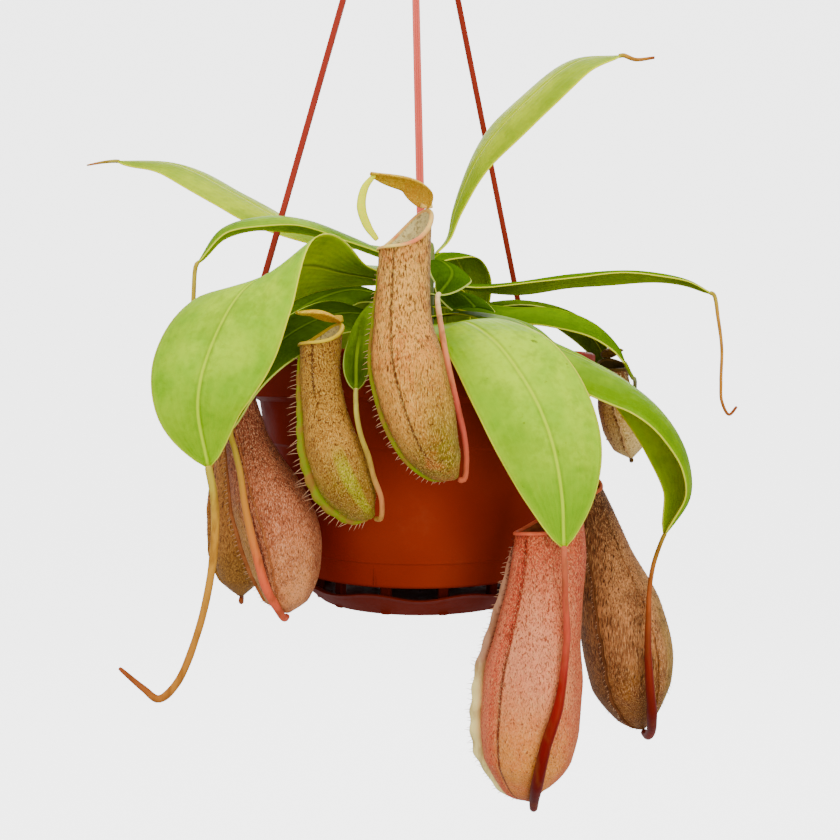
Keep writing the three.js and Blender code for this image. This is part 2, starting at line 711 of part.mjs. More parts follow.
// The top of the neck, where a lid stands.
function neckOf(pitcher) {
  const { middle, heading, radius, back } = cupFrame(pitcher, 1);
  return middle.addScaledVector(back, radius).addScaledVector(heading, pitcher.rise + LIP_HEIGHT / 2);
}

const pitchers = {
  1: {
    stations: [
      [12.3, -92, -45, 1.4], [8.6, -94, -41, 6.6], [3.6, -95, -33, 10.1], [-0.5, -95, -21, 12.2],
      [-4, -95, -7, 12.4], [-5.8, -95, 8, 9.9], [-5.6, -94.5, 20, 9], [-5.2, -94, 32, 8.8],
    ],
    back: [0.78, 0.62, 0], rise: 15, wing: 1.6,
    lid: [[-1.5, -92, 55], [-16.5, -98, 57.5]], lidWidth: 15, material: PITCHER_TAN,
    strap: [
      [-15, -97.5, 57.2], [-18.5, -98, 52.5], [-19.6, -98, 46], [-17.6, -97, 40],
      [-14.4, -95.5, 35.6],
    ],
  },
  2: {
    stations: [
      [-16.9, -78, -60.5, 1.2], [-20.5, -79, -57, 6.2], [-26.6, -80, -47, 10],
      [-31, -80, -35.5, 9.6], [-34, -79, -22, 7.8], [-35.6, -78, -9, 7.2], [-35.4, -77, 0.5, 7.5],
    ],
    back: [0.75, 0.66, 0], rise: 8.5, wing: 3.2,
    lid: [[-36.5, -77, 13], [-44, -80, 12.4]], lidWidth: 12, material: PITCHER_TAN,
  },
  3: {
    stations: [
      [-50.5, -58, -99.6, 1.4], [-50.5, -58, -95, 8], [-50.6, -58, -84, 12.8],
      [-52.7, -58, -70, 15], [-57, -59, -57, 14.2], [-61.4, -60, -45, 10.8],
      [-65, -60, -34, 8.2], [-68.5, -59.5, -22.5, 7.6],
    ],
    back: [0.75, 0.66, 0], rise: 6, wing: 1.6,
    lid: [[-69, -58, -12], [-76, -61, -12.5]], lidWidth: 10, material: PITCHER_BROWN,
  },
  4: {
    stations: [
      [-73.5, -28, -99.5, 1.4], [-73.3, -28, -93, 8], [-73.4, -28, -80, 11.6],
      [-74.3, -28, -63, 11.2], [-76, -28, -48, 8], [-77.4, -28, -36, 6.2], [-78, -28, -27, 6.2],
    ],
    back: [0.8, -0.6, 0], rise: 7, wing: 4,
    lid: [[-78, -29, -16], [-86, -26, -17]], lidWidth: 9, material: PITCHER_BROWN,
  },
  5: {
    stations: [
      [40, -82, -161.8, 1.6], [38.5, -82, -156, 9], [38.5, -82, -146, 15.6],
      [39.3, -82, -133, 17.6], [40.3, -82, -119, 17.6], [42, -82, -103, 15.2],
      [44.6, -81.5, -86, 13.4], [46, -81, -74, 13], [46, -80, -66.5, 12],
    ],
    back: [0.85, 0.5, 0], rise: 11, wing: 4,
    lid: [[48, -79, -50.5], [36, -84, -51]], lidWidth: 14, material: PITCHER_PINK,
  },
  6: {
    stations: [
      [87.8, -45, -148.6, 1.6], [85.8, -45, -143, 8.6], [83.2, -45, -131, 15.6],
      [81.6, -45, -117, 17.4], [78, -45, -101, 16.4], [72.4, -45, -81, 11], [68.2, -45, -66, 8.4],
      [64.6, -45, -56, 7],
    ],
    back: [0.1, 0.99, 0], rise: 7, wing: 1.6,
    lid: [[63, -45, -45], [59, -55, -45.5]], lidWidth: 10, material: PITCHER_BROWN,
  },
  7: {
    stations: [
      [94, 9, -45.6, 1.2], [93, 9, -41, 7], [91, 9, -31, 10], [88, 9, -22, 9.2], [86, 9, -13, 7],
      [85.5, 9, -7, 6.6],
    ],
    back: [-0.2, 0.9, 0], rise: 5, wing: 1.6,
    lid: [[85, 8, 2.5], [86.5, -1, 2]], lidWidth: 9, material: PITCHER_TAN,
  },
};

// A lid is a small arched blade that stands on the neck and leans over the mouth
function lidBlade(pitcher) {
  const foot = neckOf(pitcher).add(new THREE.Vector3(0, 0, GAP + LID_THICKNESS / 2));
  return blade({
    spine: [foot.toArray(), ...pitcher.lid],
    faces: [up, up],
    width: pitcher.lidWidth,
    widest: LID_WIDEST,
    curl: [0.5, 0.5],
    rows: 6,
    thickness: LID_THICKNESS,
  });
}

for (const [number, pitcher] of Object.entries(pitchers)) {
  place(plant, `pitcher_${number}`, cup(pitcher), pitcher.material);
  let geometry = lidBlade(pitcher);
  if (pitcher.strap) {
    geometry = joined(geometry, tube(pitcher.strap.map(vector), LEAF_TENDRIL_RADIUS, 5, 8));
  }
  place(plant, `lid_${number}`, geometry, LID_YELLOW);
}

// Tendrils
// A tendril starts at its leaf's tip, runs through the points below, and ends at its pitcher's foot.
const tendrils = {
  1: {
    leaf: 'folded_front', pitcher: 1, radius: 0.9, material: TENDRIL_RED,
    route: [
      [7.5, -80, 7], [9.6, -88, -6], [13, -90, -21], [15.5, -89.5, -32.5], [16, -90, -40.5],
      [15, -91.2, -46],
    ],
  },
  2: {
    leaf: 'small_front', pitcher: 2, radius: 0.9, material: TENDRIL_TAN,
    route: [
      [-22, -87, -24], [-20.5, -88, -31], [-17.8, -88.5, -38.5], [-16, -87, -46],
      [-13.6, -84, -53.5], [-14, -80.5, -60.8],
    ],
  },
  3: {
    leaf: 'front_left', pitcher: 3, radius: 1.2, material: TENDRIL_RED,
    route: [
      [-66.5, -76, -37], [-64.5, -77, -45], [-63, -77, -56], [-61, -77, -66], [-58.6, -76.5, -76],
      [-56, -74, -87], [-53, -68, -95.5], [-51, -62, -101],
    ],
  },
  4: {
    leaf: 'arching_left', pitcher: 4, radius: 1, material: TENDRIL_TAN,
    route: [
      [-90, -36, 22], [-91, -34, 0], [-89, -22, -30], [-83, -13, -55], [-78, -12, -85],
      [-75, -18, -100], [-73.8, -25, -103],
    ],
  },
  5: {
    leaf: 'broad_front', pitcher: 5, radius: 1.3, material: TENDRIL_RED,
    route: [
      [48.9, -99.5, -77], [49.4, -97.8, -86], [50, -97.6, -98], [48.8, -99.2, -110],
      [46.8, -100.6, -122], [42.6, -101.3, -135], [40.2, -98.9, -148], [39.8, -91.5, -157.8],
      [40.2, -86, -163],
    ],
  },
  6: {
    leaf: 'arching_front', pitcher: 6, radius: 1.3, material: TENDRIL_RED,
    route: [
      [88.5, -58.5, -81], [86.2, -62, -90], [85.2, -65, -100], [84.8, -66, -110],
      [85.4, -66.5, -123], [87, -64, -136], [88.6, -56, -146], [88.6, -50, -150],
    ],
  },
  7: {
    leaf: 'curling_right', pitcher: 7, radius: 0.9, material: TENDRIL_TAN,
    route: [
      [87, -24, -10], [92, -6, -11], [96, 12, -15], [97.5, 22, -27], [96.5, 20.5, -39],
      [95, 14, -47.2],
    ],
  },
  lime_left: {
    leaf: 'lime_left', radius: 0.9, material: TENDRIL_TAN,
    route: [[-153, 52, 94], [-161.5, 54, 93]],
  },
  broad_left: {
    leaf: 'broad_left', radius: 1.35, material: TENDRIL_TAN,
    route: [
      [-72.3, -85.5, -52], [-72, -85, -62], [-74, -83, -80], [-79, -82, -101], [-87, -82, -120],
      [-93, -83, -125], [-98, -84, -121], [-106, -86, -113],
    ],
  },
  lime_right: {
    leaf: 'lime_right', radius: 0.9, material: TENDRIL_TAN,
    route: [[90, -12, 122.5], [98, -12, 123.3]],
  },
  long_right: {
    leaf: 'long_right', radius: 0.9, material: TENDRIL_TAN,
    route: [
      [126.3, -10, 15], [128, -10, 2], [127.8, -10, -12], [128.3, -10, -20.5], [131.4, -10, -26],
      [134.4, -11, -22.5],
    ],
  },
};

for (const [name, { leaf, pitcher, radius, material, route }] of Object.entries(tendrils)) {
  const { point, heading } = tipOf(leaves[leaf]);
  const start = point.clone().addScaledVector(heading, GAP);
  const points = [start, start.clone().addScaledVector(heading, TENDRIL_LEAD), ...route.map(vector)];
  if (pitcher) {
    const foot = cupFrame(pitchers[pitcher], 0);
    points.push(foot.middle.addScaledVector(foot.heading, -GAP - radius));
  }
  place(plant, `tendril_${name}`, tube(points, radius, 5, 2 * points.length), material);
}

export default part;
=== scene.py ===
import math
import random

import bpy
import numpy as np
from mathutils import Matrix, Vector, noise


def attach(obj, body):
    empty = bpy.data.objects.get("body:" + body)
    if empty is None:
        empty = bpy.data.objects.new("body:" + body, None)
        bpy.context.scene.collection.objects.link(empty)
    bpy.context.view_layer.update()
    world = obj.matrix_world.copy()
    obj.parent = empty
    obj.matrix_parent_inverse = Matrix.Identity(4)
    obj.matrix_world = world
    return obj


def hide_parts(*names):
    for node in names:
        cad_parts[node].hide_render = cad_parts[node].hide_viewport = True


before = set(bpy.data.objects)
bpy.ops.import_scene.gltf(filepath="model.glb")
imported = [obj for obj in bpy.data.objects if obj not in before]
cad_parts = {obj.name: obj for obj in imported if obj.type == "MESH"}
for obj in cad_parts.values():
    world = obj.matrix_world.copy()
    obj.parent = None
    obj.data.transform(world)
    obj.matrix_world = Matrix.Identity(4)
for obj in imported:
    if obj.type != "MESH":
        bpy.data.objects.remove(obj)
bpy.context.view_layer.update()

RIM_BELOW_HOOK = 272
TO_METRES = 0.001
UP = (0, 0, 1)

# Pot, saucer, soil, stem, rods and hook, as the part's source drives them
GAP = 0.3
RIM_RADIUS = 75
RIM_HEIGHT = 18
RIM_WALL = 2.2
POT_HEIGHT = 92
POT_FOOT_RADIUS = 53
POT_SHOULDER_RADIUS = 69
POT_STEP_DEPTH = 37
POT_FLOOR = 2.5
POT_CHAMFER = 1
MOULDED_LINE_HEIGHT = 10
MOULDED_LINE_DEPTH = 0.8
STEP_WIDTH = 1.5
DRAIN_HOLES = 6
DRAIN_HOLE_RADIUS = 3.5
DRAIN_CIRCLE = 34
SAUCER_LIP_RADIUS = 55
SAUCER_FOOT_RADIUS = 42
SAUCER_LIP_HEIGHT = 9.5
SAUCER_FOOT_Z = -105
SAUCER_WALL = 1.6
SAUCER_WAVES = 9
SAUCER_WAVE = 0.9
PEGS = 12
PEG_WIDTH = 4
PEG_DEPTH = 3
SOIL_TOP = -10
SOIL_CLEARANCE = 1.6
SOIL_HUMP = 1.5
LUG_ANGLES = {"front": 271, "right": 46, "left": 180}
LUG_CIRCLE = 78
LUG_THICKNESS = 4
LUG_DROP = 1
LUG_LENGTH = 10
LUG_WIDTH = 13
ROD_MEETING_POINT = (-4, 0, 251)
ROD_WIDTH = 3
ROD_BALL_RADIUS = 2.9
HUB_Z = 222
HUB_RADIUS = 13.5
HUB_THICKNESS = 4
HOOK_INNER_RADIUS = 11
HOOK_WIRE_RADIUS = 2.2
HOOK_SHANK = 14
HOOK_OPEN_END = 210
STEM_FOOT = (2, 3, -34)
STEM_TOP = (3, 4, 49)
STEM_RADIUS = 3.6

# Leaves, cups and tendrils
BLADE_THICKNESS = 0.8
PETIOLE_HALF_WIDTH = 2
TIP_HALF_WIDTH = 0.9
COLUMN_SPREAD = 0.85
RIPPLE_WAVE = 0.16
RIPPLE_SHIFT = 1.7
RIPPLE_FULL_WIDTH = 8
RIDGE = 0.35
RIDGE_HALF_WIDTH = 0.9
MARGIN_THINNING = 0.55
CUP_WALL = 1
LIP_ROLL = 0.9
LIP_HEIGHT = 1.5
LIFT_FROM = 0.84
HOLLOW_FROM = 0.3
WING_ANGLE = 35
LID_WIDEST = 0.45
LID_CLEARANCE = 0.45
TUBE_END = 0.75
SPIKE_TAPER = 0.75
BRISTLE_RADIUS = 0.15
BRISTLE_SAG = -0.12
HAIR_RADIUS = 0.07
STITCH_RADIUS = 0.16
WOBBLE_WAVE = 0.15

random.seed(11)


# Curves
def vec(point):
    return np.array(point, float)


def unit(v):
    return v / np.linalg.norm(v)


class Spline:
    """A centripetal Catmull-Rom curve through points, open at both ends."""

    SAMPLES = 300

    def __init__(self, points):
        self.points = [vec(p) for p in points]
        self.shares = np.linspace(0, 1, self.SAMPLES + 1)
        placed = np.array([self.at(t) for t in self.shares])
        steps = np.linalg.norm(np.diff(placed, axis=0), axis=1)
        self.length = max(steps.sum(), 1e-9)
        self.run = np.concatenate([[0], np.cumsum(steps)]) / self.length

    def at(self, t):
        last = len(self.points) - 1
        place = min(max(t, 0), 1) * last
        i = min(int(place), last - 1)
        w = place - i
        p1, p2 = self.points[i], self.points[i + 1]
        p0 = self.points[i - 1] if i > 0 else 2 * p1 - p2
        p3 = self.points[i + 2] if i + 2 <= last else 2 * p2 - p1
        d0, d1, d2 = (max(np.linalg.norm(b - a), 1e-6) ** 0.5 for a, b in ((p0, p1), (p1, p2), (p2, p3)))
        m1 = ((p1 - p0) / d0 - (p2 - p0) / (d0 + d1) + (p2 - p1) / d1) * d1
        m2 = ((p2 - p1) / d1 - (p3 - p1) / (d1 + d2) + (p3 - p2) / d2) * d1
        cubic = 2 * p1 - 2 * p2 + m1 + m2
        square = -3 * p1 + 3 * p2 - 2 * m1 - m2
        return ((cubic * w + square) * w + m1) * w + p1

    def heading(self, t):
        step = 1e-3
        return unit(self.at(min(t + step, 1)) - self.at(max(t - step, 0)))

    def t_along(self, share):
        return float(np.interp(share, self.run, self.shares))


def mix(a, b, share):
    return a + (b - a) * share


def smooth(low, high, value):
    share = min(max((value - low) / (high - low), 0), 1)
    return share * share * (3 - 2 * share)


def square_to(v, heading):
    return unit(v - heading * np.dot(v, heading))


def on_circle(radius, degrees, z):
    angle = math.radians(degrees)
    return vec((radius * math.cos(angle), radius * math.sin(angle), z))


# Meshes
class Builder:
    """Collects vertices in millimetres, faces with a material number, and values per vertex."""

    def __init__(self):
        self.points = []
        self.faces = []
        self.slots = []
        self.values = {}

    def add(self, points, faces, slot=0, **values):
        start = len(self.points)
        self.points.extend(points)
        self.faces.extend([[start + i for i in face] for face in faces])
        self.slots.extend(slot if isinstance(slot, list) else [slot] * len(faces))
        for name, numbers in values.items():
            column = self.values.setdefault(name, [])
            column.extend([0.0] * (start - len(column)))
            column.extend([float(n) for n in numbers] if np.ndim(numbers) else [float(numbers)] * len(points))

    def make(self, name, materials, node, sharp=None):
        """The collected mesh as the piece that replaces a node.

        Edges that turn by more than sharp degrees stay crisp.
        """
        mesh = bpy.data.meshes.new(name)
        placed = (np.array(self.points) - (0, 0, RIM_BELOW_HOOK)) * TO_METRES
        mesh.from_pydata(placed.tolist(), [], self.faces)
        for column, numbers in self.values.items():
            numbers += [0.0] * (len(self.points) - len(numbers))
            mesh.attributes.new(column, "FLOAT", "POINT").data.foreach_set("value", numbers)
        for material in materials:
            mesh.materials.append(material)
        mesh.polygons.foreach_set("material_index", self.slots)
        mesh.polygons.foreach_set("use_smooth", [True] * len(self.faces))
        if sharp:
            mesh.set_sharp_from_angle(angle=math.radians(sharp))
        mesh.update()
        piece = bpy.data.objects.new(name, mesh)
        bpy.context.scene.collection.objects.link(piece)
        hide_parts(node)
        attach(piece, "root")


def ring_faces(rings, count, close_first=True, close_last=True):
    """Quads between rings of count points that follow each other, and a cap at each end."""
    faces = []
    for ring in range(rings - 1):
        for i in range(count):
            j = (i + 1) % count
            low, high = ring * count, (ring + 1) * count
            faces.append([low + i, low + j, high + j, high + i])
    if close_first:
        faces.append(list(range(count))[::-1])
    if close_last:
        faces.append([(rings - 1) * count + i for i in range(count)])
    return faces


def add_tube(builder, points, radii, sides=12, steps=60, flat=1.0, facing=None, slot=0, wobble=0.0):
    """A round or flattened tube along points. Radii are spread evenly from its start to its end."""
    spline = Spline(points)
    normal = None
    placed, along = [], []
    for step in range(steps + 1):
        share = step / steps
        t = spline.t_along(share)
        heading = spline.heading(t)
        if facing is not None:
            normal = square_to(vec(facing), heading)
        elif normal is None:
            side = vec((1, 0, 0)) if abs(heading[0]) < 0.8 else vec((0, 1, 0))
            normal = square_to(side, heading)
        else:
            normal = square_to(normal, heading)
        across = np.cross(heading, normal)
        radius = float(np.interp(share * (len(radii) - 1), range(len(radii)), radii))
        radius *= 1 + wobble * noise.noise(Vector((share * spline.length * WOBBLE_WAVE, radius, len(points))))
        if step in (0, steps):
            radius *= TUBE_END
        for i in range(sides):
            angle = 2 * math.pi * i / sides
            reach = across * math.cos(angle) + normal * (math.sin(angle) * flat)
            placed.append(spline.at(t) + reach * radius)
            along.append(share)
    builder.add(placed, ring_faces(steps + 1, sides), slot, along=along)


def add_spike(builder, foot, tip, radius, slot, bend=(0, 0, 0), steps=2):
    """A thin bristle of three sides from foot to tip."""
    axis = unit(tip - foot)
    side = square_to(vec((0.3, 0.5, 0.8)), axis)
    across = np.cross(axis, side)
    sag = vec(bend)
    placed = []
    for step in range(steps):
        share = step / steps
        centre = mix(foot, tip, share) + sag * (share * share)
        thick = radius * (1 - SPIKE_TAPER * share)
        for i in range(3):
            angle = 2 * math.pi * i / 3
            placed.append(centre + thick * (side * math.cos(angle) + across * math.sin(angle)))
    placed.append(tip + sag)
    faces = ring_faces(steps, 3, close_first=False, close_last=False)
    top = (steps - 1) * 3
    faces.extend([[top + i, top + (i + 1) % 3, top + 3] for i in range(3)])
    faces.append([2, 1, 0])
    builder.add(placed, faces, slot)


# Materials
def rgb(code):
    """Linear colour from a screen colour such as #9c3a1d."""
    linear = []
    for k in (1, 3, 5):
        value = int(code[k:k + 2], 16) / 255
        linear.append(value / 12.92 if value <= 0.04045 else ((value + 0.055) / 1.055) ** 2.4)
    return (*linear, 1)


class Paint:
    """Builds one Principled material out of procedural nodes."""

    # The colour sockets of a Mix node
    MIX_A, MIX_B, MIXED = 6, 7, 2

    def __init__(self, name, roughness=0.5, specular=0.5, glow=0.0, glow_radius=(1.0, 0.6, 0.3),
                 glow_scale=0.002, gloss=(1, 1, 1, 1)):
        self.material = bpy.data.materials.new(name)
        self.material.use_nodes = True
        self.nodes = self.material.node_tree.nodes
        self.links = self.material.node_tree.links
        self.shader = self.nodes["Principled BSDF"]
        self.fill(self.shader, {
            "Roughness": roughness, "Specular IOR Level": specular, "Specular Tint": gloss,
            "Subsurface Weight": glow, "Subsurface Radius": glow_radius, "Subsurface Scale": glow_scale,
        })

    def fill(self, node, inputs):
        """Puts a link, a screen colour or a value in each input."""
        for socket, value in inputs.items():
            if isinstance(value, bpy.types.NodeSocket):
                self.links.new(value, node.inputs[socket])
            else:
                node.inputs[socket].default_value = rgb(value) if isinstance(value, str) else value

    def node(self, kind, inputs=None, **settings):
        node = self.nodes.new(f"ShaderNode{kind}")
        for name, value in settings.items():
            setattr(node, name, value)
        self.fill(node, inputs or {})
        return node

    def value(self, name):
        return self.node("Attribute", attribute_name=name).outputs["Fac"]

    def place(self, scale=(1, 1, 1), turn=(0, 0, 0)):
        """Object coordinates in metres, stretched and turned."""
        inputs = {"Vector": self.node("TexCoord").outputs["Object"], "Scale": scale, "Rotation": turn}
        return self.node("Mapping", inputs).outputs["Vector"]

    def noise(self, scale, detail=3.0, roughness=0.55, where=None):
        inputs = {"Vector": where or self.place(), "Scale": scale, "Detail": detail, "Roughness": roughness}
        return self.node("TexNoise", inputs).outputs["Fac"]

    def math(self, kind, a, b=0.0):
        return self.node("Math", {0: a, 1: b}, operation=kind).outputs[0]

    def times(self, a, b):
        return self.math("MULTIPLY", a, b)

    def plus(self, a, b):
        return self.math("ADD", a, b)

    def span(self, value, low, high, start=0.0, end=1.0):
        """Start below low, end above high, and a smooth passage between."""
        inputs = {"Value": value, "From Min": low, "From Max": high, "To Min": start, "To Max": end}
        return self.node("MapRange", inputs, interpolation_type="SMOOTHSTEP").outputs["Result"]

    def ramp(self, value, stops):
        node = self.node("ValToRGB", {"Fac": value})
        node.color_ramp.interpolation = "EASE"
        elements = node.color_ramp.elements
        while len(elements) < len(stops):
            elements.new(0.5)
        for element, (place, colour) in zip(elements, stops):
            element.position = place
            element.color = rgb(colour)
        return node.outputs["Color"]

    def blend(self, share, a, b):
        inputs = {"Factor": share, self.MIX_A: a, self.MIX_B: b}
        return self.node("Mix", inputs, data_type="RGBA").outputs[self.MIXED]

    def lay(self, colour, other, value, low, high, share=1.0):
        """The other colour over the first, where a value passes from low to high."""
        return self.blend(self.span(value, low, high, 0.0, share), colour, other)

    def finish(self, colour, bump=(), roughness=None):
        """Bump is a list of (height, distance in metres) pairs, each laid on the one before it."""
        self.fill(self.shader, {"Base Color": colour})
        if roughness is not None:
            self.fill(self.shader, {"Roughness": roughness})
        normal = {}
        for height, distance in bump:
            node = self.node("Bump", {"Height": height, "Distance": distance, **normal})
            normal = {"Normal": node.outputs["Normal"]}
        self.fill(self.shader, normal)
        return self.material


LEAF_GLOSS = (0.5, 0.75, 0.02, 1)
CUP_GLOSS = (0.8, 0.4, 0.15, 1)
POT_GLOSS = (0.7, 0.14, 0.06, 1)
SPECK = "#5c760a"
TENDRIL_SHADE = "#783e16"
RIB_HALF_WIDTH = 0.8
VEIN_WAVE = 40.0


def leaf_paint(name, young, old, shade, rib, margin, roughness=0.36, specular=0.2, glow=0.35, specks=0.0,
               clear_from=-0.2):
    """A leaf's face: uneven green with painted shade toward its foot, its tip, one side and beside the
    midrib, a pale midrib and margin, faint veins along it and a few specks.

    The midrib and the margin show only past the share clear_from of the leaf's length, so that a leaf painted
    dark in shade toward its foot shows no pale lines there.
    """
    paint = Paint(name, roughness, specular, glow, (0.7, 1.0, 0.1), 0.0012, LEAF_GLOSS)
    along, across, edge = (paint.value(column) for column in ("along", "across", "edge_mm"))
    from_rib = paint.math("ABSOLUTE", paint.value("across_mm"))
    colour = paint.lay(young, old, paint.noise(30, 4, 0.65), 0.4, 0.62)
    # Painted shade: the green darkens toward the foot, toward the tip and on one side of the midrib
    toward_base = paint.span(along, 0.1, 0.55, 0.8, 0.0)
    toward_tip = paint.span(along, 0.7, 1.0, 0.0, 0.7)
    one_side = paint.span(across, 0.1, 0.9, 0.0, 0.45)
    painted_shade = paint.math("MAXIMUM", paint.math("MAXIMUM", toward_base, toward_tip), one_side)
    colour = paint.blend(painted_shade, colour, shade)
    colour = paint.lay(colour, shade, paint.noise(75, 4, 0.7), 0.48, 0.66, 0.4)
    colour = paint.lay(colour, shade, paint.noise(420, 3), 0.4, 0.75, 0.25)
    veins = paint.math("SINE", paint.times(across, VEIN_WAVE))
    colour = paint.lay(colour, rib, veins, 0.8, 1.0, 0.05)
    if specks:
        dots = paint.times(paint.span(paint.noise(210, 4), 0.68, 0.74), specks)
        colour = paint.blend(dots, colour, SPECK)
    # Painted shade in the groove beside the midrib
    colour = paint.lay(colour, shade, from_rib, RIB_HALF_WIDTH * 2.4, RIB_HALF_WIDTH * 1.2, 0.3)
    clear = paint.span(along, clear_from, clear_from + 0.1)
    midrib = paint.span(from_rib, RIB_HALF_WIDTH * 0.3, RIB_HALF_WIDTH, 1.0, 0.0)
    midrib = paint.times(paint.times(midrib, paint.span(along, 0.0, 0.3, 0.3, 0.75)), clear)
    colour = paint.blend(midrib, colour, rib)
    colour = paint.blend(paint.span(edge, 0.6, 3.0, 0.35, 0.0), colour, young)
    pale_edge = paint.times(paint.span(edge, 0.3, 0.75, 0.95, 0.0), clear)
    colour = paint.blend(pale_edge, colour, margin)
    groove = paint.span(from_rib, 0.0, 1.3)
    return paint.finish(colour, [(paint.noise(160, 3), 0.0006), (groove, 0.0004), (veins, 0.00003)])


def cup_paint(name, high, middle, low, dash, foot=None, light=None, size=1500, amount=0.8, stretch=0.28,
              lean=0.0, tint=None, pale=None, streak=0.0, marks=()):
    """A cup's outside: a colour that changes from foot to mouth and a painted highlight low on one side where
    pale is given, under fine light and dark flecks and marks.

    Each mark is a stripe along the cup: its place round the cup and half width in degrees, the shares of
    the cup's length that it fades in and out at, its strength and its colour.
    """
    paint = Paint(name, 0.5, 0.3, 0.06, (1.0, 0.5, 0.2), gloss=CUP_GLOSS)
    along, turn_x, turn_y = (paint.value(column) for column in ("along", "turn_x", "turn_y"))
    wander = paint.times(paint.math("SUBTRACT", paint.noise(45, 3), 0.5), 0.35)
    stops = [(0.0, foot or low), (0.22, low), (0.55, middle), (0.95, high)]
    colour = paint.ramp(paint.plus(along, wander), stops)
    if tint:
        colour = paint.lay(colour, tint, paint.noise(110, 4, 0.7), 0.44, 0.62, 0.6)
    # Painted highlight: the pale colour in an oval low on one side of the cup
    if pale:
        painted_highlight = paint.times(paint.span(turn_y, -0.2, 0.75), paint.span(along, 0.12, 0.42, 0.95, 0.0))
        colour = paint.blend(painted_highlight, colour, pale)
    for degrees, half, start, end, strength, shade in marks:
        angle = math.radians(degrees)
        turned = paint.plus(paint.times(turn_x, math.cos(angle)), paint.times(turn_y, math.sin(angle)))
        rim, core = math.cos(math.radians(half)), math.cos(math.radians(half * 0.4))
        fade = max(0.04, half * 0.004)
        reach = paint.times(paint.span(along, start - fade, start + fade),
                            paint.span(along, end - fade, end + fade, 1.0, 0.0))
        share = paint.times(paint.span(turned, rim, core, 0.0, strength), reach)
        colour = paint.blend(share, colour, shade)
    way = paint.place((1, 1, stretch), (0, lean, 0))
    drawn = paint.noise(size * 0.22, 4, 0.7, paint.place((1, 1, 0.12), (0, lean, 0)))
    colour = paint.lay(colour, dash, drawn, 0.46, 0.66, 0.2 + streak)
    grain = paint.noise(size * 1.3, 3, 0.75, way)
    if light:
        colour = paint.lay(colour, light, grain, 0.5, 0.36, 0.7)
    colour = paint.lay(colour, dash, grain, 0.5, 0.64, 0.55 * amount)
    denser = paint.span(along, 0.1, 0.95, -0.02, 0.05)
    fine = paint.noise(size, 2.5, 0.6, way)
    coarse = paint.noise(size * 0.5, 2.5, 0.6, way)
    for flecks, thin, full in ((fine, 0.57, 0.63), (coarse, 0.63, 0.69)):
        colour = paint.lay(colour, dash, paint.plus(flecks, denser), thin, full, amount)
    return paint.finish(colour, [(drawn, 0.0004), (grain, 0.0004), (fine, 0.0003)])


def plain_paint(name, colour, second, roughness=0.5, scale=300, amount=0.4, bump=0.0003, specular=0.2,
                glow=0.0):
    """One colour with an uneven second colour in it."""
    paint = Paint(name, roughness, specular, glow, gloss=CUP_GLOSS)
    colour = paint.lay(colour, second, paint.noise(scale, 3), 0.35, 0.7, amount)
    return paint.finish(colour, [(paint.noise(scale * 1.7, 3), bump)])


def graded_paint(name, stops, roughness=0.42):
    """A colour that changes along a tube, a little uneven."""
    paint = Paint(name, roughness, 0.15, 0.06, gloss=CUP_GLOSS)
    wander = paint.times(paint.math("SUBTRACT", paint.noise(120, 3), 0.5), 0.16)
    colour = paint.ramp(paint.plus(paint.value("along"), wander), stops)
    drawn = paint.noise(300, 3, where=paint.place((1, 1, 0.3)))
    colour = paint.lay(colour, TENDRIL_SHADE, drawn, 0.45, 0.7, 0.5)
    return paint.finish(colour, [(paint.noise(300, 3), 0.0002)])


# Leaves, as in the part's source: the height of the foot on the stem, a spine, the ways that the upper
# side faces, the full width and its place, and how far the halves bend at foot and tip in radians
def beside(height, towards):
    foot, top = vec(STEM_FOOT), vec(STEM_TOP)
    axis = mix(foot, top, (height - foot[2]) / (top[2] - foot[2]))
    out = towards - axis
    out[2] = 0
    return axis + unit(out) * (STEM_RADIUS + GAP)


